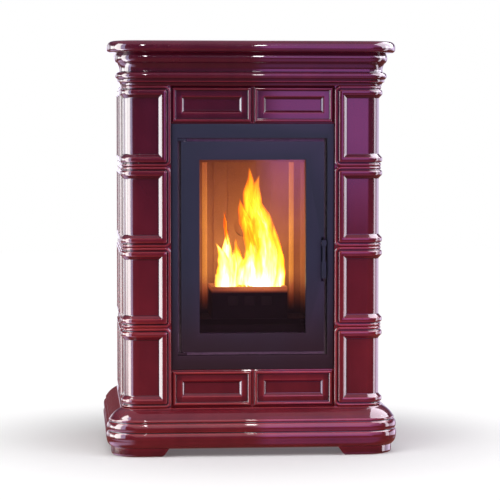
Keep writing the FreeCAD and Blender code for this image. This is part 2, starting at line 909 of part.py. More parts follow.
def door_frame():
    body = new_body("door_frame")
    plan = sketch_on(body, "door_outline", "XZ_Plane", -door_front)
    draw(plan, [
        (-door_side, door_bottom), (door_side, door_bottom), (door_side, door_top), (-door_side, door_top)])
    pad(body, "door_plate", plan, s.door_thickness, backwards=True)
    window = sketch_on(body, "door_window_outline", "XZ_Plane", -door_front)
    draw(window, [
        (-window_side, window_bottom), (window_side, window_bottom), (window_side, window_top),
        (-window_side, window_top)])
    pocket(body, "door_window", window, s.door_thickness)
    lap = s.glass_lap + s.free_clearance
    rebate = sketch_on(body, "door_rebate_outline", "XZ_Plane", -(door_back - s.glass_thickness))
    draw(rebate, [
        (-window_side - lap, window_bottom - lap), (window_side + lap, window_bottom - lap),
        (window_side + lap, window_top + lap), (-window_side - lap, window_top + lap)])
    pocket(body, "door_rebate", rebate, s.glass_thickness)
    notch = sketch_on(body, "handle_notch_outline", "XZ_Plane", -door_front)
    edge = door_side - s.handle_notch_depth
    draw(notch, [
        (edge, handle_bottom_z - s.handle_top), (door_side, handle_bottom_z - s.handle_top),
        (door_side, handle_top_z + s.handle_top), (edge, handle_top_z + s.handle_top)])
    pocket(body, "handle_notch", notch, s.handle_depth)
    return bored_door(body)


def bored_door(plate):
    """Bore the door for its hinge pins and for the pin of the handle."""
    plate.Label = "door_plate_body"
    radius = s.hinge_pin_radius + s.running_clearance
    deep = s.hinge_pin_depth + s.seat_gap
    upper = rod("door_upper_bore", "z", door_top - deep, door_top, (hinge_x, hinge_y), radius)
    lower = rod("door_lower_bore", "z", door_bottom, door_bottom + deep, (hinge_x, hinge_y), radius)
    edge = door_side - s.handle_notch_depth
    pin_hole = rod(
        "door_handle_bore", "x", edge - s.handle_pin_hold, edge, (handle_pivot_y, handle_pivot_z),
        s.handle_pin_radius)
    door = minus("bored_door", plate, upper, lower, pin_hole)
    door.Label = "door_frame"
    return door


def door_glass():
    lap = s.glass_lap
    return block(
        "door_glass", across_middle(window_side + lap), (door_back - s.glass_thickness, door_back),
        (window_bottom - lap, window_top + lap))


def door_seal():
    thickness = (door_back, fire_face - s.free_clearance)
    outer = s.seal_inset
    inside = s.seal_inset + s.seal_width
    ring = block(
        "seal_outer", across_middle(door_side - outer), thickness, (door_bottom + outer, door_top - outer))
    room = block(
        "seal_inner", across_middle(door_side - inside), thickness, (door_bottom + inside, door_top - inside))
    return minus("door_seal", ring, room)


def glass_clips():
    """Three clips along each side, each lapping from the frame on to the glass."""
    depth = (door_back, door_back + s.clip_thickness)
    clips = []
    for side in (LEFT, RIGHT):
        edge = side * (window_side + s.glass_lap)
        x = (edge - s.clip_width / 2, edge + s.clip_width / 2)
        for number, z in enumerate((window_bottom + s.clip_length, middle, window_top - s.clip_length)):
            clips.append(block(
                f"clip_{number}_{side + 1}", x, depth, (z - s.clip_length / 2, z + s.clip_length / 2)))
    return grouped("glass_clips", *clips)


def hinge_spans():
    """The heights of the two hinge brackets, in the gaps above and below the door."""
    rise = (s.door_gap - s.hinge_bracket_height) / 2
    upper = (door_top + rise, door_top + rise + s.hinge_bracket_height)
    lower = (door_bottom - rise - s.hinge_bracket_height, door_bottom - rise)
    return {"upper": upper, "lower": lower}


def hinge_brackets():
    brackets = []
    wall = -(door_side + s.door_gap)
    for word, span in hinge_spans().items():
        plate = block(
            f"{word}_hinge_plate", (wall, wall + s.hinge_bracket_length),
            (hinge_y - s.hinge_bracket_width / 2, hinge_y + s.hinge_bracket_width / 2), span)
        hole = rod(f"{word}_hinge_hole", "z", *span, (hinge_x, hinge_y), s.hinge_pin_radius)
        brackets.append(minus(f"{word}_hinge_bracket", plate, hole))
    return grouped("hinge_brackets", *brackets)


def hinge_pins():
    spans = hinge_spans()
    place = (hinge_x, hinge_y)
    upper = rod(
        "upper_hinge_pin", "z", door_top - s.hinge_pin_depth, spans["upper"][1], place, s.hinge_pin_radius)
    lower = rod(
        "lower_hinge_pin", "z", spans["lower"][0], door_bottom + s.hinge_pin_depth, place, s.hinge_pin_radius)
    return grouped("hinge_pins", upper, lower)


def handle_lever():
    depth = (handle_front, handle_back)
    shank = block(
        "handle_shank", (handle_x - s.handle_shank_width / 2, handle_x + s.handle_shank_width / 2), depth,
        (handle_bottom_z, handle_top_z))
    wide = (handle_x - s.handle_width / 2, handle_x + s.handle_width / 2)
    grip = block("handle_grip", wide, depth, (handle_bottom_z, handle_bottom_z + s.handle_grip_length))
    eye = block("handle_eye", wide, depth, (handle_pivot_z - s.handle_top, handle_top_z))
    tongue = block(
        "handle_tongue", tongue_x, (handle_front, handle_back + s.tongue_reach),
        (handle_pivot_z - s.tongue_height / 2, handle_pivot_z + s.tongue_height / 2))
    bore = rod(
        "handle_bore", "x", *wide, (handle_pivot_y, handle_pivot_z),
        s.handle_pin_radius + s.running_clearance)
    return minus("handle_lever", fused("handle_solid", shank, grip, eye, tongue), bore)


def handle_pin():
    start = door_side - s.handle_notch_depth - s.handle_pin_hold
    return rod(
        "handle_pin", "x", start, handle_x + s.handle_width / 2, (handle_pivot_y, handle_pivot_z),
        s.handle_pin_radius)


def latch_keeper():
    """The stop on the surround that the lever's tongue rests under when the door is shut."""
    low = handle_pivot_z + s.tongue_height / 2 + s.seat_gap
    far = handle_back + s.tongue_reach
    return block(
        "latch_keeper", (tongue_x[0], door_side + s.door_gap), (far - s.keeper_depth, far),
        (low, low + s.keeper_height))


# Firebox and what it holds.

auger_z = fire_floor + s.auger_up
auger_side = s.auger_block / 2
liner_face = fire_back - s.liner_thickness
shelf_z = fire_floor + s.stand_shelf_up
shelf_top = shelf_z + s.stand_shelf_thickness
stand_top = shelf_top + s.stand_height
stand_rear = liner_face - s.liner_rib_out - s.stand_back_gap
stand_front = stand_rear - s.stand_depth
stand_side = s.stand_width / 2
igniter_z = shelf_top + s.igniter_up
duct_x = (s.fan_across - s.smoke_duct_width / 2, s.fan_across + s.smoke_duct_width / 2)
duct_y = (fire_back - s.smoke_duct_depth - s.fire_wall, fire_back - s.fire_wall)


def firebox():
    wall = s.fire_wall
    shell = block(
        "firebox_shell", across_middle(fire_side + wall), (fire_front, fire_back + wall),
        (fire_floor - wall, fire_roof + wall))
    room = block("firebox_room", across_middle(fire_side), (fire_front, fire_back), (fire_floor, fire_roof))
    back = (fire_back, fire_back + wall)
    feed_hole = block(
        "firebox_feed_hole", across_middle(auger_side), back, (auger_z - auger_side, auger_z + auger_side))
    air_hole = rod("firebox_air_hole", "y", *back, (s.air_across, air_z), air_bore_radius)
    igniter_hole = rod(
        "firebox_igniter_hole", "y", *back, (as_length(0), igniter_z), s.igniter_radius + s.free_clearance)
    smoke_hole = block(
        "firebox_smoke_hole", inset(duct_x, s.fan_wall), inset(duct_y, s.fan_wall),
        (fire_floor - wall, fire_floor))
    return minus("firebox", shell, room, feed_hole, air_hole, igniter_hole, smoke_hole)


def firebox_liners():
    low, high = shelf_top, fire_roof - s.liner_top_gap
    plates = []
    back_plate = block("back_liner_plate", across_middle(fire_side), (liner_face, fire_back), (low, high))
    ribs = []
    count = int((fire_side - s.liner_thickness).value // s.liner_rib_pitch.value)
    for number in range(-count + 1, count):
        x = number * s.liner_rib_pitch
        ribs.append(block(
            f"back_liner_rib_{number + count}", (x - s.liner_rib_width / 2, x + s.liner_rib_width / 2),
            (liner_face - s.liner_rib_out, liner_face), (low, high)))
    feed_hole = block(
        "back_liner_feed_hole", across_middle(auger_side), (liner_face - s.liner_rib_out, fire_back),
        (auger_z - auger_side, auger_z + auger_side))
    igniter_hole = rod(
        "back_liner_igniter_hole", "y", liner_face - s.liner_rib_out, fire_back, (as_length(0), igniter_z),
        s.igniter_radius + s.free_clearance)
    plates.append(minus(
        "back_liner", fused("back_liner_ribbed", back_plate, *ribs), feed_hole, igniter_hole))
    for side, word in ((LEFT, "left"), (RIGHT, "right")):
        outer, inside = side * fire_side, side * (fire_side - s.liner_thickness)
        x = (outer, inside) if side == LEFT else (inside, outer)
        plates.append(block(f"{word}_liner", x, (fire_front, liner_face), (low, high)))
    return grouped("firebox_liners", *plates)


def baffle():
    """The deflector plate that lies on the liners under the firebox roof."""
    low = fire_roof - s.liner_top_gap
    return block(
        "baffle", across_middle(fire_side - s.seat_gap), (fire_back - s.baffle_depth, fire_back),
        (low, low + s.baffle_thickness))


def brazier_stand():
    """A shelf across the firebox, with a slotted collar that carries the brazier by its rim."""
    shelf = block(
        "stand_shelf", across_middle(fire_side), (stand_front - s.stand_back_gap, fire_back),
        (shelf_z, shelf_top))
    collar = block(
        "stand_collar", across_middle(stand_side), (stand_front, stand_rear), (shelf_top, stand_top))
    room = block(
        "stand_room", across_middle(stand_side - s.stand_wall),
        inset((stand_front, stand_rear), s.stand_wall),
        (shelf_z, stand_top))
    slots = []
    slot_top = stand_top - s.stand_slot_drop
    for number in (-1, 0, 1):
        x = number * s.stand_slot_pitch
        slots.append(block(
            f"stand_slot_{number + 1}", (x - s.stand_slot_width / 2, x + s.stand_slot_width / 2),
            (stand_front, stand_front + s.stand_wall), (slot_top - s.stand_slot_height, slot_top)))
    igniter_hole = rod(
        "stand_igniter_hole", "y", stand_rear - s.stand_wall, stand_rear, (as_length(0), igniter_z),
        s.igniter_radius + s.free_clearance)
    return minus("brazier_stand", fused("stand_solid", shelf, collar), room, igniter_hole, *slots)


brazier_side = stand_side - s.stand_wall - s.seat_gap
brazier_y = inset((stand_front, stand_rear), s.stand_wall + s.seat_gap)
brazier_top = stand_top + s.brazier_rim
brazier_bottom = brazier_top - s.brazier_height


def brazier():
    rim = block(
        "brazier_rim_plate", across_middle(stand_side), (stand_front, stand_rear), (stand_top, brazier_top))
    pot = block("brazier_pot", across_middle(brazier_side), brazier_y, (brazier_bottom, brazier_top))
    room = block(
        "brazier_room", across_middle(brazier_side - s.brazier_wall), inset(brazier_y, s.brazier_wall),
        (brazier_bottom + s.brazier_wall, brazier_top))
    holes = []
    columns, rows = BRAZIER_HOLES
    middle_y = (brazier_y[0] + brazier_y[1]) / 2
    for column in range(columns):
        for row in range(rows):
            x = (column - (columns - 1) / 2) * s.brazier_hole_pitch
            y = middle_y + (row - (rows - 1) / 2) * s.brazier_hole_pitch
            holes.append(rod(
                f"brazier_hole_{column}_{row}", "z", brazier_bottom, brazier_bottom + s.brazier_wall, (x, y),
                s.brazier_hole_radius))
    return minus("brazier", fused("brazier_solid", rim, pot), room, *holes)


drawer_side = fire_side - s.drawer_side_gap
drawer_front = fire_front + s.drawer_front_gap
drawer_y = (drawer_front, drawer_front + s.drawer_depth)
drawer_z = (fire_floor, fire_floor + s.drawer_height)


def ash_drawer():
    box = block("drawer_box", across_middle(drawer_side), drawer_y, drawer_z)
    room = block(
        "drawer_room", across_middle(drawer_side - s.drawer_wall), inset(drawer_y, s.drawer_wall),
        (drawer_z[0] + s.drawer_wall, drawer_z[1]))
    return minus("ash_drawer", box, room)


def igniter():
    start = stand_rear - s.stand_wall
    return rod(
        "igniter", "y", start, start + s.igniter_length, (as_length(0), igniter_z), s.igniter_radius)


# Pellet feed: hopper, auger and gear motor.

auger_y = (liner_face, fire_back + s.fire_wall + s.hopper_depth - s.motor_depth - s.seat_gap)
auger_inlet_y = (hopper_front + s.auger_inlet_gap, hopper_front + s.auger_inlet_gap + s.auger_inlet_depth)
hopper_bottom = auger_z + auger_side


def taper(name, wall, low, high):
    """A hopper's tapered foot, drawn in by one wall thickness."""
    wedge = doc.addObject("Part::Wedge", name)
    wedge.Placement = Placement(Vector(), Rotation(Vector(1, 0, 0), 90))
    tie(wedge, "Placement.Base.z", low)
    tie(wedge, "Ymin", 0)
    tie(wedge, "Ymax", high - low)
    outlet = s.auger_inlet_width / 2 + s.sheet - wall
    mouth = hopper_side - wall
    tie(wedge, "Xmin", -outlet)
    tie(wedge, "Xmax", outlet)
    tie(wedge, "X2min", -mouth)
    tie(wedge, "X2max", mouth)
    tie(wedge, "Zmin", -(auger_inlet_y[1] + s.sheet - wall))
    tie(wedge, "Zmax", -(auger_inlet_y[0] - s.sheet + wall))
    tie(wedge, "Z2min", -(hopper_rear - wall))
    tie(wedge, "Z2max", -(hopper_front + wall))
    return wedge


def hopper():
    shoulder = hopper_bottom + s.hopper_taper_height
    outer = block(
        "hopper_box", across_middle(hopper_side), (hopper_front, hopper_rear), (shoulder, carcass_top))
    room = block(
        "hopper_room", across_middle(hopper_side - s.sheet), inset((hopper_front, hopper_rear), s.sheet),
        (shoulder, carcass_top))
    foot = taper("hopper_foot", as_length(0), hopper_bottom, shoulder)
    foot_room = taper("hopper_foot_room", s.sheet, hopper_bottom, shoulder)
    return minus("hopper", fused("hopper_solid", outer, foot), room, foot_room)


def auger_housing():
    x = across_middle(auger_side)
    shell = block("auger_block_solid", x, auger_y, (auger_z - auger_side, auger_z + auger_side))
    bore = rod(
        "auger_bore", "y", auger_y[0], auger_y[1] - s.auger_back_wall, (as_length(0), auger_z),
        s.auger_bore_radius)
    inlet = block(
        "auger_inlet", across_middle(s.auger_inlet_width / 2), auger_inlet_y, (auger_z, auger_z + auger_side))
    shaft_hole = rod(
        "auger_shaft_hole", "y", auger_y[1] - s.auger_back_wall, auger_y[1], (as_length(0), auger_z),
        s.auger_shaft_radius + s.running_clearance)
    return minus("auger_housing", shell, bore, inlet, shaft_hole)


def auger_screw():
    """A shaft with one helical flight, made along its own axis and laid along Y."""
    body = new_body("auger_screw")
    flight_end = auger_y[1] - s.auger_back_wall - s.seat_gap
    start = auger_y[0] + s.seat_gap
    core = draw(sketch_on(body, "auger_core_section", "XZ_Plane"), [
        (0, 0), (s.auger_shaft_radius, 0), (s.auger_shaft_radius, auger_y[1] + s.motor_depth / 2 - start),
        (0, auger_y[1] + s.motor_depth / 2 - start)])
    shaft = body.newObject("PartDesign::Revolution", "auger_shaft")
    shaft.Profile = core
    shaft.ReferenceAxis = (core, ["V_Axis"])
    section = draw(sketch_on(body, "auger_flight_section", "XZ_Plane"), [
        (s.auger_shaft_radius - 2, 0), (s.flight_radius, 0), (s.flight_radius, s.flight_thickness),
        (s.auger_shaft_radius - 2, s.flight_thickness)])
    flight = body.newObject("PartDesign::AdditiveHelix", "auger_flight")
    flight.Profile = section
    flight.ReferenceAxis = (section, ["V_Axis"])
    flight.Mode = "pitch-height-angle"
    tie(flight, "Pitch", s.flight_pitch)
    tie(flight, "Height", flight_end - start - s.flight_thickness)
    body.Placement = Placement(Vector(), Rotation(Vector(1, 0, 0), -90))
    tie(body, "Placement.Base.y", start)
    tie(body, "Placement.Base.z", auger_z)
    return body


def gear_motor():
    y = (auger_y[1], auger_y[1] + s.motor_depth)
    case = block(
        "motor_case", across_middle(s.motor_width / 2), y,
        (auger_z - s.motor_height * 2 / 3, auger_z + s.motor_height / 3))
    bore = rod(
        "motor_bore", "y", y[0], auger_y[1] + s.motor_depth / 2 + s.seat_gap, (as_length(0), auger_z),
        s.auger_shaft_radius + s.running_clearance)
    return minus("gear_motor", case, bore)


def hopper_lid():
    x = across_middle(lid_side)
    low = slab_bottom + s.lid_lift
    slab = block("lid_slab", x, (lid_front, lid_rear), (low, lid_top))
    room = block(
        "lid_room", across_middle(lid_side - s.lid_rim), (lid_front + s.lid_rim, lid_rear - s.lid_rail),
        (low, lid_top - s.lid_skin))
    bore = rod("lid_bore", "x", *x, (lid_pin_y, lid_pin_z), s.lid_pin_radius + s.running_clearance)
    return minus("hopper_lid", slab, room, bore)


def lid_hinge_pin():
    return rod("lid_hinge_pin", "x", *across_middle(ear_side), (lid_pin_y, lid_pin_z), s.lid_pin_radius)


# Exhaust fan, flue spigot and combustion air.

fan_y = fire_back + s.fan_behind
fan_x = (s.fan_across - s.fan_width / 2, s.fan_across + s.fan_width / 2)
fan_place = (fan_y, s.fan_up)


def exhaust_housing():
    """A drum with a smoke duct up to the firebox and a flue spigot out through the rear panel."""
    drum = rod("fan_drum", "x", *fan_x, fan_place, s.fan_radius)
    flue = (s.fan_across, flue_z)
    tube = rod("flue_tube", "y", fan_y - s.flue_wall, rear, flue, flue_tube_radius)
    spigot = rod("flue_spigot", "y", rear, rear + s.flue_out, flue, s.flue_radius)
    duct = block("smoke_duct", duct_x, duct_y, (s.fan_up, fire_floor - s.fire_wall))
    room = rod("fan_room", "x", *inset(fan_x, s.fan_wall), fan_place, s.fan_radius - s.fan_wall)
    flue_room = rod("flue_room", "y", fan_y, rear + s.flue_out, flue, flue_bore_radius)
    duct_room = block(
        "smoke_duct_room", inset(duct_x, s.fan_wall), inset(duct_y, s.fan_wall),
        (s.fan_up, fire_floor - s.fire_wall))
    shaft_hole = rod(
        "fan_shaft_hole", "x", fan_x[1] - s.fan_wall, fan_x[1], fan_place,
        s.fan_shaft_radius + s.free_clearance)
    return minus(
        "exhaust_housing", fused("fan_solid", drum, tube, spigot, duct),
        room, flue_room, duct_room, shaft_hole)


def bladed(name, count, blade):
    """Copies of one blade, evenly spaced round a shaft along X at the fan's own origin."""
    blades = []
    for number in range(count):
        copy = blade(f"{name}_{number}")
        copy.Placement = Placement(Vector(), Rotation(Vector(1, 0, 0), number * 360 / count))
        blades.append(copy)
    return blades


def sized_box(name, length, width, height):
    box = doc.addObject("Part::Box", name)
    tie(box, "Length", length)
    tie(box, "Width", width)
    tie(box, "Height", height)
    return box


def placed(item, x, y, z):
    for axis, place in zip("xyz", (x, y, z)):
        tie(item, f"Placement.Base.{axis}", place)
    return item


def exhaust_impeller():
    """Made about its own axis: the back plate is at x = 0 and the shaft runs on to the motor."""
    origin = (as_length(0), as_length(0))
    play = (s.fan_width - 2 * s.fan_wall - s.impeller_width) / 2
    plate = rod("impeller_plate_disc", "x", -s.impeller_plate, as_length(0), origin, s.impeller_radius)
    hub = rod("impeller_hub", "x", -s.impeller_width, as_length(0), origin, s.impeller_hub_radius)
    shaft = rod(
        "impeller_shaft", "x", -s.impeller_width, play + s.fan_wall + s.fan_shaft_hold, origin,
        s.fan_shaft_radius)
    blades = bladed(
        "impeller_blade", IMPELLER_BLADES,
        lambda name: sized_box(name, s.impeller_width, s.blade_thickness, s.impeller_radius))
    vanes = fused("impeller_vanes", *blades)
    tie(vanes, "Placement.Base.x", -s.impeller_width)
    rotor = fused("exhaust_impeller", plate, hub, shaft, vanes)
    return placed(rotor, fan_x[1] - s.fan_wall - play, fan_y, s.fan_up)


def exhaust_motor():
    case = rod("fan_motor_case", "x", fan_x[1], fan_x[1] + s.fan_motor_length, fan_place, s.fan_motor_radius)
    bore = rod(
        "fan_motor_bore", "x", fan_x[1], fan_x[1] + s.fan_shaft_hold + s.seat_gap, fan_place,
        s.fan_shaft_radius + s.running_clearance)
    return minus("exhaust_motor", case, bore)


def air_inlet_pipe():
    start = fire_back + s.fire_wall
    place = (s.air_across, air_z)
    tube = rod("air_tube", "y", start, rear, place, air_tube_radius)
    spigot = rod("air_spigot", "y", rear, rear + s.air_out, place, s.air_radius)
    bore = rod("air_bore", "y", start, rear + s.air_out, place, air_bore_radius)
    return minus("air_inlet_pipe", fused("air_solid", tube, spigot), bore)


# Room-air fan, standing in the base tray.

blower_x = (s.blower_left, s.blower_left + s.blower_length)
blower_y = (tile_back + s.blower_gap, tile_back + s.blower_gap + s.blower_depth)
blower_floor = s.tray_bottom + s.tray_sheet
blower_z = (blower_floor, blower_floor + s.blower_height)
rotor_place = (blower_y[0] + s.blower_depth / 2, blower_floor + s.blower_height / 2)


def room_fan_housing():
    box = block("blower_box", blower_x, blower_y, blower_z)
    room = block(
        "blower_room", inset(blower_x, s.blower_wall), (blower_y[0], blower_y[1] - s.blower_wall),
        (blower_z[0] + s.blower_wall, blower_z[1]))
    bore = rod("blower_bore", "x", *blower_x, rotor_place, s.rotor_shaft_radius + s.running_clearance)
    return minus("room_fan_housing", box, room, bore)


def room_fan_rotor():
    """A long drum of blades between two discs, made about its own axis from its left end."""
    origin = (as_length(0), as_length(0))
    length = s.blower_length - 2 * (s.blower_wall + s.rotor_end_gap)
    overhang = s.blower_wall + s.rotor_end_gap
    shaft = rod("rotor_shaft", "x", -overhang, length + overhang, origin, s.rotor_shaft_radius)
    discs = [
        rod("rotor_left_disc", "x", as_length(0), s.rotor_disc, origin, s.rotor_radius),
        rod("rotor_right_disc", "x", length - s.rotor_disc, length, origin, s.rotor_radius)]
    blades = []
    for number in range(ROTOR_BLADES):
        angle = number * 360 / ROTOR_BLADES
        blade = sized_box(f"rotor_blade_{number}", length, s.blade_thickness, s.rotor_blade_depth)
        turn = Rotation(Vector(1, 0, 0), angle)
        blade.Placement = Placement(Vector(), turn)
        lift = s.rotor_radius - s.rotor_blade_depth - s.seat_gap
        tie(blade, "Placement.Base.y", -math.sin(math.radians(angle)) * lift)
        tie(blade, "Placement.Base.z", math.cos(math.radians(angle)) * lift)
        blades.append(blade)
    rotor = fused("room_fan_rotor", shaft, *discs, *blades)
    return placed(rotor, s.blower_left + overhang, *rotor_place)


# Control panel on the top slab, and the mains inlet on the rear panel.

BUTTONS = {"minus_button": -1, "power_button": 0, "plus_button": 1}
panel_top = slab_top - s.panel_drop
panel_middle = (panel_x[0] + panel_x[1]) / 2
button_y = (panel_y[0] + panel_y[1]) / 2


def control_panel():
    case = block("panel_case", panel_x, panel_y, (slab_bottom, panel_top))
    wells = [
        rod(f"{name}_well", "z", panel_top - s.button_height - s.button_room, panel_top,
            (panel_middle + number * s.button_pitch, button_y), s.button_radius + s.free_clearance)
        for name, number in BUTTONS.items()]
    return minus("control_panel", case, *wells)


def button(name, number):
    top = panel_top + s.button_proud
    return rod(
        name, "z", top - s.button_height, top, (panel_middle + number * s.button_pitch, button_y),
        s.button_radius)


rocker_right = inlet_x[1] - s.inlet_lip - s.rocker_room
rocker_x = (rocker_right - s.rocker_width, rocker_right)
rocker_z = (s.inlet_up - s.rocker_height / 2, s.inlet_up + s.rocker_height / 2)
rocker_face = rear + s.inlet_lip_out + s.rocker_proud
rocker_y = (rocker_face - s.rocker_depth, rocker_face)
rocker_pin_y = rocker_face - s.rocker_depth / 2


def mains_inlet():
    case = block("inlet_case", inlet_x, (rear - s.inlet_depth, rear), inlet_z)
    lip = block(
        "inlet_lip_plate", inset(inlet_x, -s.inlet_lip), (rear, rear + s.inlet_lip_out),
        inset(inlet_z, -s.inlet_lip))
    face = rear + s.inlet_lip_out
    socket_x = (inlet_x[0] + s.inlet_lip, inlet_x[0] + s.inlet_lip + s.socket_width)
    socket = block(
        "inlet_socket", socket_x, (face - s.socket_depth, face),
        (s.inlet_up - s.socket_height / 2, s.inlet_up + s.socket_height / 2))
    well = block(
        "rocker_well", inset(rocker_x, -s.free_clearance), (rocker_y[0] - s.inlet_lip_out, face),
        inset(rocker_z, -s.rocker_room))
    pin_hole = rod(
        "rocker_pin_hole", "x", rocker_x[0] - s.inlet_lip_out, rocker_x[1] + s.inlet_lip_out,
        (rocker_pin_y, s.inlet_up), s.rocker_pin_radius + s.running_clearance)
    return minus("mains_inlet", fused("inlet_solid", case, lip), socket, well, pin_hole)


def mains_rocker():
    cap = block("rocker_cap", rocker_x, rocker_y, rocker_z)
    pin = rod(
        "rocker_pin", "x",
        rocker_x[0] - s.inlet_lip_out + s.seat_gap, rocker_x[1] + s.inlet_lip_out - s.seat_gap,
        (rocker_pin_y, s.inlet_up), s.rocker_pin_radius)
    return fused("mains_rocker", cap, pin)


def build():
    pieces = [
        plinth_front(), plinth_sides(), front_moulding("cornice_front", cornice_profile(s.casting_thickness)),
        cornice_sides(),
        top_slab()]
    for side, word in ((LEFT, "left"), (RIGHT, "right")):
        pieces += [corner_tile(side, word, course) for course in range(COURSES)]
        pieces += [side_tiles(side, word), inner_panel(side, word)]
    surround_low = middle - surround_half_height
    surround_high = middle + surround_half_height
    pieces += [frieze("lower_frieze_tiles", plinth_top, surround_low)]
    pieces += [frieze("upper_frieze_tiles", surround_high, cornice_bottom)]
    pieces += [base_tray(), levelling_feet(), front_panel(), rear_panel(), panel_screws(), top_frame()]
    pieces += [
        door_surround(), door_frame(), door_glass(), door_seal(), glass_clips(), hinge_brackets(), hinge_pins(),
        handle_lever(), handle_pin(), latch_keeper()]
    pieces += [firebox(), firebox_liners(), baffle(), brazier_stand(), brazier(), ash_drawer(), igniter()]
    pieces += [hopper(), hopper_lid(), lid_hinge_pin(), auger_housing(), auger_screw(), gear_motor()]
    pieces += [exhaust_housing(), exhaust_impeller(), exhaust_motor(), air_inlet_pipe()]
    pieces += [room_fan_housing(), room_fan_rotor()]
    pieces += [control_panel()] + [button(name, number) for name, number in BUTTONS.items()]
    pieces += [mains_inlet(), mains_rocker()]
    return pieces


pieces = build()
doc.recompute()

failed = [item.Name for item in doc.Objects if {"Invalid", "Error"} & set(item.State)]
failed += [item.Label for item in pieces if item.Shape.isNull() or not item.Shape.isValid()]
if failed:
    raise RuntimeError(f"these did not build: {failed}")

os.makedirs("parts", exist_ok=True)
for item in pieces:
    item.Shape.exportStep(f"parts/{item.Label}.step")
print(f"{len(pieces)} pieces written")
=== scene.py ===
# %% [markdown]
# # A pellet stove in burgundy glazed tiles
#
# The real stove is a steel box with a fire in it, dressed in glazed ceramic: a plinth on bracket feet, two
# columns of corner tiles, friezes above and below the door, a cornice and a top slab. The steel pieces, the
# joints and the real sizes come from the CAD model, so this lesson only dresses that frame: it gives each
# steel piece a finish, and makes the ceramic, the fire and the small hardware again in finer shapes.

import json
import math

import bmesh
import bpy
import numpy as np
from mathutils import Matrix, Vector

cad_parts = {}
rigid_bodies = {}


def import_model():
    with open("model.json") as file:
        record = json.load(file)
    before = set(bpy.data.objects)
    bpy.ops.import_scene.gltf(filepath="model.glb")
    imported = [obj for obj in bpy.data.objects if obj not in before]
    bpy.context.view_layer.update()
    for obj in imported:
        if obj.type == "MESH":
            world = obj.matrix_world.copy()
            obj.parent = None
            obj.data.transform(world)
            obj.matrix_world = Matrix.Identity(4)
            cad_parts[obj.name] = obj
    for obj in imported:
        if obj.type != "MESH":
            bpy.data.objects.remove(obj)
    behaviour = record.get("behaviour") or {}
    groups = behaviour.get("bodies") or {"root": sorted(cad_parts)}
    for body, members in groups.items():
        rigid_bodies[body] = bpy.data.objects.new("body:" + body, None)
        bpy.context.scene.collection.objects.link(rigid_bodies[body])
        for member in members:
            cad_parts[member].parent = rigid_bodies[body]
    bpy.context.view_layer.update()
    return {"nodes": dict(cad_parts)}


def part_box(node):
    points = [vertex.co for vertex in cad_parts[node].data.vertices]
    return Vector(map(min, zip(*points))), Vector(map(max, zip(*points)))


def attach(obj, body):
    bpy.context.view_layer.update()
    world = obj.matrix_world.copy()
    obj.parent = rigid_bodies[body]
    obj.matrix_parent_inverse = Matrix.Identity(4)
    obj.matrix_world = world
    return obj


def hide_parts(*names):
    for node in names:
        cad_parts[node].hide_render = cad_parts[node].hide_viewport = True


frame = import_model()
MM = 0.001

# %% [markdown]
# ## Sums of shader sockets
#
# A procedural finish is a sum of noises, heights and masks. Wiring Math nodes by hand hides the sum, so one
# small class wraps a socket, and Python's own operators add the nodes. Its make method adds any other node.

# %% A socket that can be added and multiplied
class Field:
    """One output of a material's nodes, used in sums as a number is."""

    def __init__(self, tree, socket):
        self.tree, self.socket = tree, socket

    def make(self, kind, settings, sockets, output=0):
        node = self.tree.nodes.new(kind)
        for name, value in settings.items():
            if name == "stops":
                set_stops(node.color_ramp, value)
            else:
                setattr(node, name, value)
        for name, value in sockets.items():
            if isinstance(value, Field):
                self.tree.links.new(value.socket, node.inputs[name])
            else:
                node.inputs[name].default_value = value
        return Field(self.tree, node.outputs[output])

    def math(self, operation, *terms, clamp=False):
        settings = {"operation": operation, "use_clamp": clamp}
        return self.make("ShaderNodeMath", settings, dict(enumerate(terms)))

    def __add__(self, other):
        return self.math("ADD", self, other)

    def __sub__(self, other):
        return self.math("SUBTRACT", self, other)

    def __rsub__(self, other):
        return self.math("SUBTRACT", other, self)

    def __mul__(self, other):
        return self.math("MULTIPLY", self, other)

    __radd__, __rmul__ = __add__, __mul__

    def held(self):
        """The same value, kept between 0 and 1."""
        return self.math("ADD", self, 0.0, clamp=True)

    def step(self, low, high):
        """0 below low, 1 above high, and a smooth rise between them."""
        settings = {"interpolation_type": "SMOOTHSTEP"}
        return self.make("ShaderNodeMapRange", settings, {"Value": self, "From Min": low, "From Max": high})

    def fall(self, low, high):
        """1 below low, 0 above high, and a smooth fall between them."""
        return 1.0 - self.step(low, high)

    def noise(self, scale, detail=2.0, roughness=0.5, stretch=(1, 1, 1)):
        """Noise over this place, with its own stretch along x, y and z."""
        placed = self.make("ShaderNodeMapping", {}, {"Vector": self, "Scale": stretch})
        sockets = {"Vector": placed, "Scale": scale, "Detail": detail, "Roughness": roughness}
        return self.make("ShaderNodeTexNoise", {}, sockets)

    def mix(self, first, second):
        """The first colour where this value is 0, the second where it is 1."""
        colours = {index: colour if isinstance(colour, Field) else (*colour, 1.0)
                   for index, colour in ((6, first), (7, second))}
        return self.make("ShaderNodeMix", {"data_type": "RGBA"}, {0: self, **colours}, output=2)

    def ramp(self, stops):
        return self.make("ShaderNodeValToRGB", {"stops": stops}, {"Fac": self})

    def axis(self, number):
        return self.make("ShaderNodeSeparateXYZ", {}, {"Vector": self}, output=number)

    def attribute(self, name):
        return self.make("ShaderNodeAttribute", {"attribute_name": name}, {}, output=2)

    def bump(self, strength, distance):
        sockets = {"Height": self, "Strength": strength, "Distance": distance}
        return self.make("ShaderNodeBump", {}, sockets)


def set_stops(ramp, stops):
    while len(ramp.elements) < len(stops):
        ramp.elements.new(0.5)
    for element, (place, colour) in zip(ramp.elements, stops):
        element.position, element.color = place, (*colour, 1.0)


print("a Field can", ", ".join(name for name in vars(Field) if not name.startswith("_")))

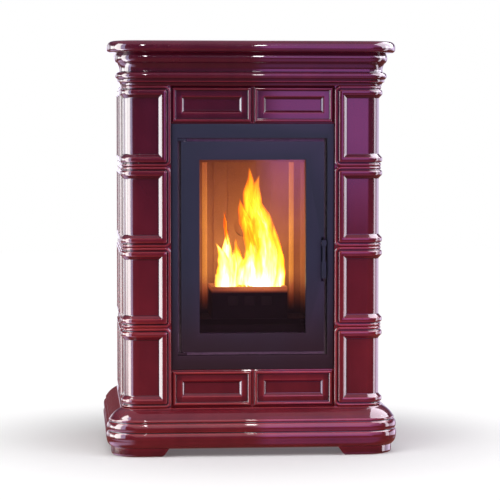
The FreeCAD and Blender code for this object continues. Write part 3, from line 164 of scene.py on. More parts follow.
# %% Materials fed by such sums
def shader_socket(made, word):
    name = word.replace("_", " ").title().replace("Ior", "IOR")
    return made.node_tree.nodes["Principled BSDF"].inputs[name]


def finish_named(name, **fixed):
    """A new material with the values that are the same all over, and the place on its object."""
    made = bpy.data.materials.new(name)
    made.use_nodes = True
    for word, value in fixed.items():
        shader_socket(made, word).default_value = value
    tree = made.node_tree
    return made, Field(tree, tree.nodes.new("ShaderNodeTexCoord").outputs["Object"])


def feed(made, **varying):
    """The same material, with the values that change from place to place."""
    for word, field in varying.items():
        field.tree.links.new(field.socket, shader_socket(made, word))
    return made


print("material tools ready")

# %% [markdown]
# ## Burgundy glaze
#
# Majolica glaze is coloured glass melted over clay. It runs off the ridges, where the warm clay shows
# through, and pools in the hollows, where it looks nearly black. Each ceramic mesh carries an attribute,
# thin, that is above 0 on ridges and below 0 in hollows, so the colour follows the real shape. A clear coat
# gives the wet gloss, and a faint slow bump makes the reflections waver as they do on fired tiles. The
# colour is redder and lighter low down and darker higher up. The feet carry a painted shade: the glaze is
# darker in the last few centimetres above the floor.

# %% The glaze
def burgundy_glaze():
    made, place = finish_named(
        "burgundy_glaze", coat_roughness=0.03, coat_ior=1.6, specular_ior_level=0.12)
    thin = place.attribute("thin")
    cloud = place.noise(9.0, detail=3.0)
    run = place.noise(30.0, detail=2.0, stretch=(1, 1, 0.25))
    # Painted shade: the glaze is darker in the last few centimetres above the floor, where the feet meet it.
    floor_contact_shade = place.axis(2).fall(0.012, 0.030)
    depth = (thin * 0.65 + cloud * 0.30 + run * 0.14 + 0.24 - floor_contact_shade * 0.22).held()
    lower_glaze_colour = depth.ramp([
        (0.0, (0.016, 0.0008, 0.0026)), (0.35, (0.066, 0.0032, 0.0078)),
        (0.62, (0.130, 0.0068, 0.0125)), (1.0, (0.280, 0.0220, 0.0200))])
    upper_glaze_colour = depth.ramp([
        (0.0, (0.008, 0.0004, 0.0026)), (0.35, (0.029, 0.0014, 0.0070)),
        (0.62, (0.058, 0.0030, 0.0115)), (1.0, (0.150, 0.0120, 0.0200))])
    # Redder and lighter low down, darker higher up.
    colour = (place.axis(2) + cloud * 0.2 - 0.1).step(0.30, 0.95).mix(lower_glaze_colour, upper_glaze_colour)
    waver = place.noise(22.0, detail=1.0) + place.noise(75.0, detail=1.0) * 0.25
    return feed(made, base_color=colour, coat_weight=(0.93 + cloud * 0.1).held(),
                roughness=(0.16 + run * 0.14), normal=waver.bump(0.35, 0.0016))


glaze = burgundy_glaze()
print("made", glaze.name)

# %% [markdown]
# ## Steel, iron, glass and plastic
#
# The door and its surround are sheet steel with a satin black stove paint. The carcass is plain coated
# sheet. Liners and brazier are cast iron, grey with ash and lit by the fire in front of them. That light is
# part of the finish, as a glow that fades with the distance from the flame, so that the firebox also looks
# lit where the model is used without this scene's lights. Below the fire, the stand and drawer are black
# with soot.

# %% Paint and sheet
def black_paint():
    made, place = finish_named("black_stove_paint", specular_ior_level=0.12)
    grain = place.noise(900.0, detail=1.0)
    cloud = place.noise(6.0, detail=2.0)
    # Painted reflection: the paint is tinted warm near the floor and blue higher up, standing in for the warm
    # floor and bluish room it mirrors.
    height = (place.axis(2) + cloud * 0.1).step(0.25, 0.60)
    colour = height.mix((0.025, 0.011, 0.016), cloud.mix((0.018, 0.019, 0.036), (0.024, 0.025, 0.046)))
    return feed(made, base_color=colour, roughness=0.24 + cloud * 0.10 + grain * 0.05,
                normal=grain.bump(0.12, 0.0002))


def coated_sheet():
    made, place = finish_named("coated_sheet_steel", metallic=0.85)
    cloud = place.noise(14.0, detail=4.0)
    spangle = place.make("ShaderNodeTexVoronoi", {}, {"Vector": place, "Scale": 90.0}, output=1)
    shade = (cloud * 0.6 + spangle * 0.4).mix((0.15, 0.15, 0.155), (0.30, 0.30, 0.31))
    return feed(made, base_color=shade, roughness=0.36 + cloud * 0.2)


black = black_paint()
sheet = coated_sheet()
print("made", black.name, "and", sheet.name)

# %% Iron that the fire lights
FIRE_HEART = (0.025, -0.060, 0.545)


def firelit_iron(name, reach, rise, bright, emission):
    """Sooty iron that shows the fire's light within reach of its heart, fading in over a rise of heights."""
    made, place = finish_named(name, specular_ior_level=0.2, emission_strength=emission)
    pores = place.noise(300.0, detail=3.0)
    streak = place.noise(20.0, detail=4.0, stretch=(1, 1, 0.05))
    ash = place.noise(14.0, detail=4.0)
    inside = place.axis(2).step(*rise) * place.axis(1).fall(0.060, 0.110)
    sooted = (ash * 0.6 + pores * 0.4) * (0.15 + inside * 0.85)
    colour = sooted.mix((0.014, 0.010, 0.010), (0.13, 0.105, 0.090))
    away = place.make("ShaderNodeVectorMath", {"operation": "DISTANCE"}, {0: place, 1: FIRE_HEART}, output=1)
    light = away.fall(0.02, reach) * inside * (0.45 + streak * 0.7 + ash * 0.3) * (0.85 + pores * 0.3)
    glow = light.held().ramp([
        (0.0, (0.0, 0.0, 0.0)), (0.22, (0.14, 0.022, 0.006)),
        (0.55, (0.47, 0.100, 0.032)), (1.0, bright)])
    return feed(made, base_color=colour, roughness=0.75 + pores * 0.2, emission_color=glow,
                normal=(pores + ash).bump(0.35, 0.0007))


liner_iron = firelit_iron("firelit_liner_iron", 0.50, (0.36, 0.48), (0.85, 0.21, 0.06), 0.46)
rib_iron = firelit_iron("firelit_rib_iron", 0.62, (0.36, 0.48), (1.0, 0.34, 0.05), 0.85)
brazier_iron = firelit_iron("firelit_brazier_iron", 0.30, (0.424, 0.436), (1.0, 0.45, 0.12), 1.1)
print("made", [iron.name for iron in (liner_iron, rib_iron, brazier_iron)])

# %% Soot and bright steel
def soot_iron():
    made, place = finish_named("soot_iron", specular_ior_level=0.15)
    soot = place.noise(30.0, detail=4.0)
    colour = soot.mix((0.004, 0.003, 0.004), (0.016, 0.011, 0.012))
    return feed(made, base_color=colour, roughness=0.7 + soot * 0.25)


def bright_steel():
    made, place = finish_named("bright_steel", metallic=1.0)
    brush = place.noise(240.0, detail=2.0, stretch=(1, 1, 0.06))
    colour = brush.mix((0.42, 0.42, 0.43), (0.66, 0.66, 0.67))
    return feed(made, base_color=colour, roughness=0.22 + brush * 0.2)


soot = soot_iron()
steel = bright_steel()
print("made", soot.name, "and", steel.name)

# %% Glass, rope, plastic
def pane_glass():
    made, place = finish_named(
        "ceramic_glass", transmission_weight=1.0, ior=1.45, roughness=0.0, specular_ior_level=0.32)
    haze = place.noise(5.0, detail=2.0)
    return feed(made, base_color=haze.mix((0.96, 0.94, 0.90), (0.90, 0.87, 0.82)))


def glass_rope():
    made, place = finish_named("glass_fibre_rope", specular_ior_level=0.2)
    fibre = place.noise(700.0, detail=2.0)
    soot = place.noise(20.0, detail=3.0)
    colour = (soot * 0.6 + fibre * 0.4).mix((0.07, 0.065, 0.06), (0.34, 0.32, 0.30))
    return feed(made, base_color=colour, roughness=0.85 + fibre * 0.1, normal=fibre.bump(0.6, 0.0006))


def moulded_plastic(name, dark, light, rough):
    made, place = finish_named(name, specular_ior_level=0.45)
    grain = place.noise(1400.0, detail=1.0)
    cloud = place.noise(12.0, detail=2.0)
    return feed(made, base_color=cloud.mix(dark, light), roughness=rough + grain * 0.12,
                normal=grain.bump(0.2, 0.00015))


glass = pane_glass()
rope = glass_rope()
black_plastic = moulded_plastic("black_plastic", (0.018, 0.018, 0.02), (0.04, 0.04, 0.043), 0.45)
grey_plastic = moulded_plastic("grey_plastic", (0.34, 0.34, 0.35), (0.46, 0.46, 0.47), 0.42)
print("made", [finish.name for finish in (glass, rope, black_plastic, grey_plastic)])

# %% [markdown]
# ## From points to a piece
#
# Every new piece is a plain mesh with its place in its vertices. One function turns its faces outwards and
# smooths it up to a chosen angle. Another puts the piece on the body it rides on and hides the CAD nodes it
# stands for. A third finds the ridges and hollows that the glaze needs.

# %% Make a mesh
CREASE, TILE_CREASE, SOFT_CREASE = 40.0, 50.0, 32.0


def dressed(mesh, finish):
    mesh.materials.clear()
    mesh.materials.append(finish)
    return mesh


def shaded(mesh, finish, crease):
    """The mesh in its finish, smooth but for edges that turn by more than the crease."""
    mesh.shade_smooth()
    mesh.set_sharp_from_angle(angle=math.radians(crease))
    return dressed(mesh, finish)


def mesh_of(name, places, faces, finish, crease=CREASE):
    mesh = bpy.data.meshes.new(name)
    mesh.from_pydata([tuple(place) for place in places], [], [tuple(map(int, face)) for face in faces])
    shape = bmesh.new()
    shape.from_mesh(mesh)
    bmesh.ops.recalc_face_normals(shape, faces=shape.faces)
    shape.to_mesh(mesh)
    shape.free()
    return shaded(mesh, finish, crease)


print("creases of", CREASE, TILE_CREASE, "and", SOFT_CREASE, "degrees")

# %% Settle a piece
def new_object(name, data):
    made = bpy.data.objects.new(name, data)
    bpy.context.scene.collection.objects.link(made)
    return made


def settled(mesh, body, slot, *nodes):
    """A piece with its mesh's name, on its body, in place of these CAD nodes."""
    piece = new_object(mesh.name, mesh)
    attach(piece, body)
    if nodes:
        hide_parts(*nodes)
    print(f"{mesh.name}: {len(mesh.polygons)} faces, for {list(nodes)}")


print("CAD nodes in the frame:", len(frame["nodes"]))

# %% Ridges and hollows of a glazed piece
def array_of(items, key, kind, width):
    values = np.empty(len(items) * width, kind)
    items.foreach_get(key, values)
    return values.reshape(-1, width)


def write_values(mesh, name, values):
    mesh.attributes.new(name, "FLOAT", "POINT").data.foreach_set("value", values.astype(np.float32))


def mark_thin_glaze(mesh, span=0.008):
    """Write the attribute thin: how far each point lies on a ridge (above 0) or in a hollow."""
    places = array_of(mesh.vertices, "co", np.float32, 3)
    normals = array_of(mesh.vertex_normals, "vector", np.float32, 3)
    ends = array_of(mesh.edges, "vertices", np.int32, 2)
    total, count = np.zeros(len(places)), np.zeros(len(places))
    for here, there in (ends.T, ends.T[::-1]):
        way = places[there] - places[here]
        length = np.maximum((way * way).sum(1), 1e-10)
        np.add.at(total, here, -(normals[here] * way).sum(1) / length)
        np.add.at(count, here, 1)
    thin = np.clip(total / np.maximum(count, 1) * span, -1, 1)
    for _ in range(2):
        total = thin.copy()
        for here, there in (ends.T, ends.T[::-1]):
            np.add.at(total, here, thin[there])
        thin = total / (count + 1)
    write_values(mesh, "thin", thin)
    return mesh


def glazed_mesh(name, places, faces, crease=CREASE):
    return mark_thin_glaze(mesh_of(name, places, faces, glaze, crease))


def settle_glazed(mesh, *nodes):
    settled(mesh, "stove_body", "burgundy_glaze", *nodes)


def settle_moulding(name, shape, node):
    settle_glazed(glazed_mesh(name, *shape), node)


print("glaze tools ready")

# %% [markdown]
# ## Where the ceramic stands
#
# The CAD nodes give the planes: the tiles are 24 mm thick outside the base tray, the mouldings round the
# front are cast 16 mm thick, and the corner of the body is rounded. A moulding is a line, drawn as out and
# up in millimetres, that runs along the body's plan.

# %% Planes of the body
TILE = 24.0
CORNER = 45.0
CASTING = 16.0
COURSES = 4
tile_low, tile_high = (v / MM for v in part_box("left_corner_tile_1"))
half = round((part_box("base_tray")[1] / MM).x, 3) + TILE
rear = round((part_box("plinth_sides")[1] / MM).y, 3)
return_end = round(tile_high.y, 3)
column_inner = -round(tile_high.x, 3)
front = round(return_end - (half - column_inner), 3)
plinth_top, course = round(tile_low.z, 3), round(tile_high.z - tile_low.z, 3)
cornice_bottom = plinth_top + COURSES * course
print("body:", 2 * half, "mm wide, front at", front, "and rear at", rear, "mm, courses of", course, "mm")

# %% Lines with arcs
def arc_points(first, second, sag, steps=9):
    """Points from the first to before the second, on an arc that stands out by sag in its middle."""
    first, second = np.array(first[:2], float), np.array(second[:2], float)
    if not sag:
        return [first]
    chord = second - first
    length = np.linalg.norm(chord)
    radius = (length * length / 4 + sag * sag) / (2 * abs(sag))
    aside = np.array([chord[1], -chord[0]]) / length * np.sign(sag)
    centre = (first + second) / 2 - aside * (radius - abs(sag))
    start, end = first - centre, second - centre
    quarter = np.array([-start[1], start[0]])
    turn = math.atan2(quarter @ end, start @ end)
    angles = [turn * step / steps for step in range(steps)]
    return [centre + start * math.cos(angle) + quarter * math.sin(angle) for angle in angles]


print("points of an arc:", len(arc_points((0, 0), (10, 0), 2.0)))

# %% Lines with eased corners
STRAIGHT, ROUND_SHARE, GUARD = 0.92, 0.40, 1.15


def eased(points, reach):
    """The same closed line with its sharp corners cut to small rounds, as glaze leaves them.

    A round takes at most a share of the edges beside it. A guard point close to each of its ends keeps
    the flat beside it flat when it is shaded smooth. A bend that is nearly straight is left as it is."""
    line = np.array(points, float)
    made = []
    for before, here, after in zip(np.roll(line, 1, 0), line, np.roll(line, -1, 0)):
        back, on = before - here, after - here
        sharp = -(back @ on) / (np.linalg.norm(back) * np.linalg.norm(on))
        if sharp > STRAIGHT:
            made.append(here)
            continue
        cut = [min(reach, np.linalg.norm(way) * ROUND_SHARE) / np.linalg.norm(way) for way in (back, on)]
        made.append(here + back * cut[0] * GUARD)
        for share in (0.0, 0.33, 0.67, 1.0):
            made.append((here + back * cut[0]) * (1 - share) ** 2 + here * 2 * share * (1 - share)
                        + (here + on * cut[1]) * share ** 2)
        made.append(here + on * cut[1] * GUARD)
    return np.array(made)


def moulding_line(corners, back, ease=1.6):
    """The closed line of a moulding: its drawn face, and a flat back this far inside the body's face."""
    corners = [(-back, corners[0][1]), *corners, (-back, corners[-1][1])]
    points = []
    for corner, after in zip(corners, corners[1:] + corners[:1]):
        points += arc_points(corner, after, corner[2] if len(corner) > 2 else 0.0)
    return eased(points, ease)


print("points of a plain square moulding:", len(moulding_line([(9, 0), (9, 9)], CASTING)))

# %% Paths round the body
def corner_turn(side, steps=14):
    """Stations round one front corner, from its side to the front: x, y and the outward direction."""
    for step in range(steps + 1):
        angle = math.pi / 2 * step / steps
        out = (side * math.cos(angle), -math.sin(angle))
        yield (side * (half - CORNER) + out[0] * CORNER, front + CORNER + out[1] * CORNER, *out)


def front_run():
    left, right = list(corner_turn(-1)), list(corner_turn(1))
    return [(-half, return_end, -1, 0), *left, *right[::-1], (half, return_end, 1, 0)]


print("stations round the front:", len(front_run()))

# %% Sweeps
def tube_faces(rings, width):
    """Faces of a tube of rings with this many points each, with both ends closed."""
    at = lambda ring, point: ring * width + point % width
    faces = [(at(a, b), at(a, b + 1), at(a + 1, b + 1), at(a + 1, b))
             for a in range(rings - 1) for b in range(width)]
    return faces + [tuple(range(width)), tuple(range((rings - 1) * width, rings * width))]


def swept(stations, line):
    """Points and faces of a closed line carried along stations."""
    stations = np.array(stations, float)
    count, width = len(stations), len(line)
    places = np.empty((count, width, 3))
    places[:, :, :2] = stations[:, None, :2] + stations[:, None, 2:] * line[None, :, :1]
    places[:, :, 2] = line[None, :, 1]
    return places.reshape(-1, 3) * MM, tube_faces(count, width)


def side_runs(line):
    ends = lambda side: [(side * half, return_end, side, 0), (side * half, rear, side, 0)]
    return [swept(ends(side), line) for side in (-1, 1)]


def joined(*shapes):
    """Several sets of points and faces as one."""
    places, faces = [], []
    for more_places, more_faces in shapes:
        start = sum(len(p) for p in places)
        places.append(np.array(more_places))
        faces += [tuple(start + i for i in face) for face in more_faces]
    return np.concatenate(places), faces


print("faces of a square bar:", len(tube_faces(2, 4)))

# %% [markdown]
# ## Plinth
#
# The plinth is cast in one piece round the front, with a straight run down each side. From the floor up it
# is a bracket foot at each corner, a fat torus, a bead between two grooves, and a wave up to the columns. A
# sweep of its drawn line keeps every moulding even round the corners, which a sculpted mesh would not.

# %% Plinth runs
PLINTH_LINE = [
    (26, 22), (30.5, 22.5, 3.4), (43.0, 44, 1.5), (42.0, 62.4), (40.0, 64.2), (40.0, 66.4), (41.6, 68.2, 2.4),
    (39.4, 88.6), (36.6, 90.2), (36.4, 92.4), (37.2, 94.0, 0.8), (34.6, 100.5, 2.6), (7.5, 125.2), (6, 127)]
plinth_line = moulding_line(PLINTH_LINE, CASTING)
print("plinth stands out", round(plinth_line[:, 0].max(), 2), "mm")

# %% Bracket feet
FOOT_LENGTH, FOOT_SLOPE, SLOPE_TOP = 122.0, 20.0, 22.0
FOOT_LINE = [(22, 0), (27, 1.2, 0.8), (30, 7), (30, 24)]


def along(stations, distances):
    """Stations at these distances along a run."""
    stations = np.array(stations, float)
    steps = np.linalg.norm(np.diff(stations[:, :2], axis=0), axis=1)
    reached = np.concatenate([[0], np.cumsum(steps)])
    made = np.stack([np.interp(distances, reached, stations[:, i]) for i in range(4)], 1)
    made[:, 2:] /= np.linalg.norm(made[:, 2:], axis=1)[:, None]
    return made, reached[-1]


def foot(stations, slopes, back, steps=22):
    """A foot carried along stations. Its free ends lean in towards the floor, in a hollow curve."""
    line = moulding_line(FOOT_LINE, back, ease=1.2)
    _, length = along(stations, [0.0])
    rows = []
    for out, up in line:
        lean = FOOT_SLOPE * max(0.0, 1 - up / SLOPE_TOP) ** 1.6
        spread = np.linspace(lean * slopes[0], length - lean * slopes[1], steps)
        row, _ = along(stations, spread)
        rows.append(np.column_stack([row[:, :2] + row[:, 2:] * out, np.full(steps, up)]))
    places = np.array(rows).transpose(1, 0, 2).reshape(-1, 3)
    return places * MM, tube_faces(steps, len(line))


def corner_foot_run(side):
    return [(side * half, front + FOOT_LENGTH, side, 0), *corner_turn(side, 18),
            (side * (half - FOOT_LENGTH), front, 0, -1)]


front_feet = [foot(corner_foot_run(side), (1, 1), CASTING) for side in (-1, 1)]
rear_feet = [foot([(side * half, rear - FOOT_LENGTH, side, 0), (side * half, rear, side, 0)], (1, 0), TILE, 6)
             for side in (-1, 1)]
settle_moulding("plinth_front_glazed", joined(swept(front_run(), plinth_line), *front_feet), "plinth_front")
side_line = moulding_line(PLINTH_LINE, TILE)
settle_moulding("plinth_sides_glazed", joined(*side_runs(side_line), *rear_feet), "plinth_sides")

# %% [markdown]
# ## Cornice and top slab
#
# The cornice mirrors the plinth: a hollow above the columns, a fillet, a torus, a cove and an ovolo under
# the slab. The slab itself is a plate with a thumbnail edge, and its shape comes from the CAD node: a copy
# with its doubles merged and its sharp edges softened, because a fired edge is never sharp.

# %% Cornice runs
CORNICE_LINE = [(out, cornice_bottom + up, *sag) for out, up, *sag in (
    (1, 0, -2.2), (9, 10), (9, 15.5), (9.6, 17, 5.6), (9.6, 35), (4, 36.5), (4, 39.5, -2.2), (10, 60),
    (12.4, 61.5, 3.4), (14, 83), (12, 88))]
CORNICE_EASE = 1.2
cornice_line = moulding_line(CORNICE_LINE, CASTING, CORNICE_EASE)
cornice_side_line = moulding_line(CORNICE_LINE, TILE, CORNICE_EASE)
settle_moulding("cornice_front_glazed", swept(front_run(), cornice_line), "cornice_front")
settle_moulding("cornice_sides_glazed", joined(*side_runs(cornice_side_line)), "cornice_sides")

# %% Softened copies of CAD nodes
def softened(node, finish, width, body, slot):
    """A piece from a copy of a CAD node, its sharp edges rounded to this width in millimetres."""
    mesh = frame["nodes"][node].data.copy()
    mesh.name = f"{node}_soft"
    shape = bmesh.new()
    shape.from_mesh(mesh)
    bmesh.ops.remove_doubles(shape, verts=shape.verts, dist=1e-6)
    bmesh.ops.dissolve_limit(shape, angle_limit=math.radians(0.6), verts=shape.verts, edges=shape.edges)
    limit = math.radians(SOFT_CREASE)
    sharp = [edge for edge in shape.edges if len(edge.link_faces) == 2 and edge.calc_face_angle(0) > limit]
    bmesh.ops.bevel(shape, geom=sharp, offset=width * MM, segments=3, profile=0.5, affect="EDGES",
                    clamp_overlap=True)
    bmesh.ops.triangulate(shape, faces=[face for face in shape.faces if len(face.verts) > 4])
    shape.to_mesh(mesh)
    shape.free()
    for name in ("custom_normal", "sharp_face", "sharp_edge"):
        if name in mesh.attributes:
            mesh.attributes.remove(mesh.attributes[name])
    settled(shaded(mesh, finish, SOFT_CREASE), body, slot, node)
    return mesh


mark_thin_glaze(softened("top_slab", glaze, 1.5, "stove_body", "burgundy_glaze"))

# %% [markdown]
# ## Corner tiles
#
# Each column is a stack of four corner tiles. A tile has a frame of a small roll, a groove and a proud
# ridge, then a bevel down to a sunk panel. All of it bends round the corner of the body, so the ridges show
# as bumps in the outline. The face is a height over the tile: the distance from the tile's edge goes into
# one drawn section, so the frame turns its own corners. A grid with lines where the section bends keeps it
# crisp.

# %% The section of a tile's frame
FRAME_SECTION = np.array([
    (-9, -3.0), (0, -3.0), (0.6, -1.4), (1.6, -0.2), (3.0, 0.6), (4.4, 0.9), (5.8, 0.6), (7.0, -0.1),
    (8.0, -1.0), (8.8, -1.4), (9.8, -1.3), (10.6, -0.2), (11.4, 1.5), (12.4, 2.8), (13.8, 3.5), (15.6, 3.85),
    (18.4, 4.0), (21.2, 3.85), (23.0, 3.5), (24.2, 2.8), (25.0, 1.9), (25.6, 0.9)])
FRAME_BEVEL = (25.6, 7.4, 6.2)
FRAME_ROUND, FLAT_ROUND = 16.0, 5.0
BEVEL_LINES = np.linspace(0.125, 1.25, 10)


def rounded_distance(first, second, radius):
    """The distance to the nearer of two edges, with contours that turn the corner in a curve."""
    a, b = radius - first, radius - second
    return radius - np.hypot(np.maximum(a, 0), np.maximum(b, 0)) - np.minimum(np.maximum(a, b), 0)


def sinking(distance, start, width, depth):
    """How deep a bevel has sunk at this distance past its start, with eased ends."""
    share = np.clip((distance - start) / width, 0, 1)
    return depth * (0.72 * share + 0.28 * share * share * (3 - 2 * share))


def framed_height(to_sides, to_ends, section, bevel, radius):
    """The height of a framed tile, from the distances to its sides and ends."""
    edge = rounded_distance(to_sides, to_ends, radius)
    return np.interp(edge, *section.T) - sinking(edge, *bevel)


def frame_lines(section, bevel):
    """The distances from a tile's edge where its grid needs a line."""
    return np.concatenate([section[1:, 0], bevel[0] + bevel[1] * BEVEL_LINES])


print("ridge", FRAME_SECTION[:, 1].max(), "mm proud, panel", FRAME_BEVEL[2], "mm sunk")

# %% Faces of a slab
def slab_faces(rows, columns):
    """Faces of a closed slab: a grid in front, walls round its rim, and strips behind."""
    front_at = lambda r, c: r * columns + c
    count = rows * columns
    rim = ([(0, c) for c in range(columns)] + [(r, columns - 1) for r in range(1, rows)]
           + [(rows - 1, c) for c in range(columns - 2, -1, -1)] + [(r, 0) for r in range(rows - 2, 0, -1)])
    behind = {place: count + i for i, place in enumerate(rim)}
    faces = [(front_at(r, c), front_at(r, c + 1), front_at(r + 1, c + 1), front_at(r + 1, c))
             for r in range(rows - 1) for c in range(columns - 1)]
    faces += [(front_at(*a), behind[a], behind[b], front_at(*b)) for a, b in zip(rim, rim[1:] + rim[:1])]
    column = lambda c: [behind[r, c] for r in (range(rows) if c in (0, columns - 1) else (0, rows - 1))]
    faces += [(*column(c), *column(c + 1)[::-1]) for c in range(columns - 1)]
    return faces, rim


print("faces of a slab of 3 by 3 points:", len(slab_faces(3, 3)[0]))

# %% Corner tiles, round their own middle
PANEL_RUN, PANEL_RISE = [56], [60, 85]


def corner_tile_mesh(side):
    """A corner tile. Its grid has the frame's lines, the turn's, and a few more on the sunk panel."""
    flat = half - CORNER - column_inner
    turn = CORNER * math.pi / 2
    total = 2 * flat + turn
    lines = frame_lines(FRAME_SECTION, FRAME_BEVEL)
    half_run = np.concatenate([lines, PANEL_RUN, flat + turn * np.linspace(0, 0.5, 12)])
    run = np.unique(np.round(np.concatenate([half_run, total - half_run]), 4))
    ends = np.concatenate([lines, PANEL_RISE])
    rise = np.unique(np.round(np.concatenate([ends, [course / 2], course - ends]), 4))
    over, up = np.meshgrid(run, rise)
    height = framed_height(np.minimum(over, total - over), np.minimum(up, course - up),
                           FRAME_SECTION, FRAME_BEVEL, FRAME_ROUND)
    angle = np.clip((run - flat) / CORNER, 0, math.pi / 2)
    out = np.stack([np.sin(angle), -np.cos(angle)], 1)
    stem = np.stack([column_inner + np.minimum(run, flat),
                     front + CORNER + np.maximum(run - flat - turn, 0)], 1)
    faces, rim = slab_faces(len(rise), len(run))
    places = np.empty((len(rise), len(run), 3))
    places[:, :, :2] = stem[None] + out[None] * (CORNER + height)[:, :, None]
    places[:, :, 2] = up - course / 2
    back = stem + out * ((CORNER - TILE) / np.abs(out).max(1))[:, None]
    behind = [(*back[c], rise[r] - course / 2) for r, c in rim]
    places = np.concatenate([places.reshape(-1, 3), behind]) * [side, 1, 1]
    return glazed_mesh(f"corner_tile_{side}", places * MM, faces, TILE_CREASE)


corner_tiles = {side: corner_tile_mesh(side) for side in (-1, 1)}
print("faces of a corner tile:", len(corner_tiles[1].polygons))

# %% [markdown]
# ## Laying tiles by rule
#
# Tiles repeat, so Geometry Nodes lay them: points at each course and column, and one tile on each point. The
# flat ones are turned by a hair at random, because no mason sets them dead true, and that is why
# neighbouring tiles mirror the room differently. The tree realises the copies, and the result is kept as a
# plain mesh.

# %% Trees of Geometry Nodes
def new_rule(name, inputs):
    tree = bpy.data.node_groups.new(name, "GeometryNodeTree")
    tree.interface.new_socket("Geometry", in_out="INPUT", socket_type="NodeSocketGeometry")
    for label, kind in inputs.items():
        tree.interface.new_socket(label, in_out="INPUT", socket_type=f"NodeSocket{kind}")
    tree.interface.new_socket("Geometry", in_out="OUTPUT", socket_type="NodeSocketGeometry")
    given = tree.nodes.new("NodeGroupInput")
    return tree, {socket.name: Field(tree, socket) for socket in given.outputs if socket.name}


def close_rule(tree, copies, finish):
    real = copies.make("GeometryNodeRealizeInstances", {}, {"Geometry": copies})
    painted = real.make("GeometryNodeSetMaterial", {}, {"Geometry": real, "Material": finish})
    tree.links.new(painted.socket, tree.nodes.new("NodeGroupOutput").inputs[0])
    return tree


def grown(name, mesh, tree, **values):
    """The plain mesh that a tree makes from this one, with these values for its named inputs."""
    seed = new_object(f"{name}_start", mesh)
    modifier = seed.modifiers.new("rule", "NODES")
    modifier.node_group = tree
    for item in tree.interface.items_tree:
        if item.item_type == "SOCKET" and item.in_out == "INPUT" and item.name in values:
            modifier[item.identifier] = values[item.name]
    made = bpy.data.meshes.new_from_object(seed.evaluated_get(bpy.context.evaluated_depsgraph_get()))
    made.name = name
    bpy.data.objects.remove(seed)
    return made


print("tree tools ready")

# %% A tree that lays tiles
def tile_laying_rule():
    tree, given = new_rule("lay_tiles", {
        "Courses": "Int", "Columns": "Int", "First": "Vector", "Course_step": "Vector",
        "Column_step": "Vector", "Lean": "Float", "Seed": "Int", "Finish": "Material"})
    any_field = given["Geometry"]
    number = any_field.make("GeometryNodeInputIndex", {}, {})
    level = number.math("FLOOR", number.math("DIVIDE", number + 0.01, given["Columns"]))
    row = number - level * given["Columns"]
    scaled = lambda vector, amount: any_field.make(
        "ShaderNodeVectorMath", {"operation": "SCALE"}, {0: vector, "Scale": amount})
    add = lambda a, b: any_field.make("ShaderNodeVectorMath", {"operation": "ADD"}, {0: a, 1: b})
    place = add(given["First"], add(scaled(given["Course_step"], level), scaled(given["Column_step"], row)))
    points = any_field.make("GeometryNodePoints", {}, {
        "Count": given["Courses"] * given["Columns"], "Position": place})
    lean = any_field.make("FunctionNodeRandomValue", {"data_type": "FLOAT_VECTOR"}, {
        0: (-1, -1, -1), 1: (1, 1, 1), "Seed": given["Seed"]})
    tiles = any_field.make("GeometryNodeInstanceOnPoints", {}, {
        "Points": points, "Instance": any_field, "Rotation": scaled(lean, given["Lean"])})
    return close_rule(tree, tiles, given["Finish"])


def laid(name, tile, first, courses=1, columns=1, column_step=(0, 0, 0), lean=0.0, seed=3, finish=glaze):
    """Copies of a tile in courses and columns, from this first place, with lengths in millimetres."""
    metres = lambda lengths: tuple(float(length) * MM for length in lengths)
    return grown(name, tile, lay_tiles, Courses=courses, Columns=columns, First=metres(first),
                 Course_step=metres((0, 0, course)), Column_step=metres(column_step), Lean=lean, Seed=seed,
                 Finish=finish)


lay_tiles = tile_laying_rule()
print("tree", lay_tiles.name, "with", len(lay_tiles.nodes), "nodes")

# %% Two columns of corner tiles
LEAN = math.radians(0.10)
for side, word in ((-1, "left"), (1, "right")):
    column = laid(f"{word}_column_tiles", corner_tiles[side], (0, 0, plinth_top + course / 2), COURSES)
    settle_glazed(column, *(f"{word}_corner_tile_{n + 1}" for n in range(COURSES)))

# %% [markdown]
# ## Side tiles and friezes
#
# Behind the corner tiles the sides carry two columns of flat tiles with the same frame. The frieze tiles
# above and below the door are finer: a flat border, a bead, a hollow, and a bevel to the sunk panel. Both
# are the same grid of heights, with their own section.

# %% Flat tiles
FRIEZE_SECTION = np.array([
    (-9, -2.4), (0, -2.4), (0.6, -0.7), (1.6, 0.0), (4.4, 0.1), (5.0, 0.8), (5.6, 2.2), (6.6, 3.2),
    (8.0, 3.6), (9.6, 3.6), (11.0, 3.2), (12.0, 2.2), (12.6, 0.9), (13.2, 0.2), (14.0, 0.0), (15.0, 0.0),
    (27.6, 0.0), (28.2, 0.0), (28.9, -0.2), (29.6, -0.7)])
FRIEZE_BEVEL = (29.6, 6.4, 5.0)


def flat_tile_mesh(name, width, height, section, bevel, place):
    """A flat framed tile. place turns across, up and out into a point of the body."""
    lines = frame_lines(section, bevel)
    spread = lambda size: np.unique(np.round(np.concatenate([lines, [size / 2], size - lines]), 4))
    across, up = np.meshgrid(spread(width), spread(height))
    out = framed_height(np.minimum(across, width - across), np.minimum(up, height - up),
                        section, bevel, FLAT_ROUND)
    faces, rim = slab_faces(*across.shape)
    places = np.stack([across - width / 2, up - height / 2, out], 2)
    behind = np.array([(*places[r, c, :2], -TILE) for r, c in rim])
    points = np.array([place(*point) for point in np.concatenate([places.reshape(-1, 3), behind])])
    return glazed_mesh(name, points * MM, faces, TILE_CREASE)


side_width = (rear - return_end) / 2
for side, word in ((-1, "left"), (1, "right")):
    tile = flat_tile_mesh(f"{word}_side_tile", side_width, course, FRAME_SECTION, FRAME_BEVEL,
                          lambda across, up, out: (side * out, across, up))
    first = (side * half, return_end + side_width / 2, plinth_top + course / 2)
    wall = laid(f"{word}_side_tiles_glazed", tile, first, COURSES, 2, (0, side_width, 0), LEAN, seed=5)
    settle_glazed(wall, f"{word}_side_tiles")

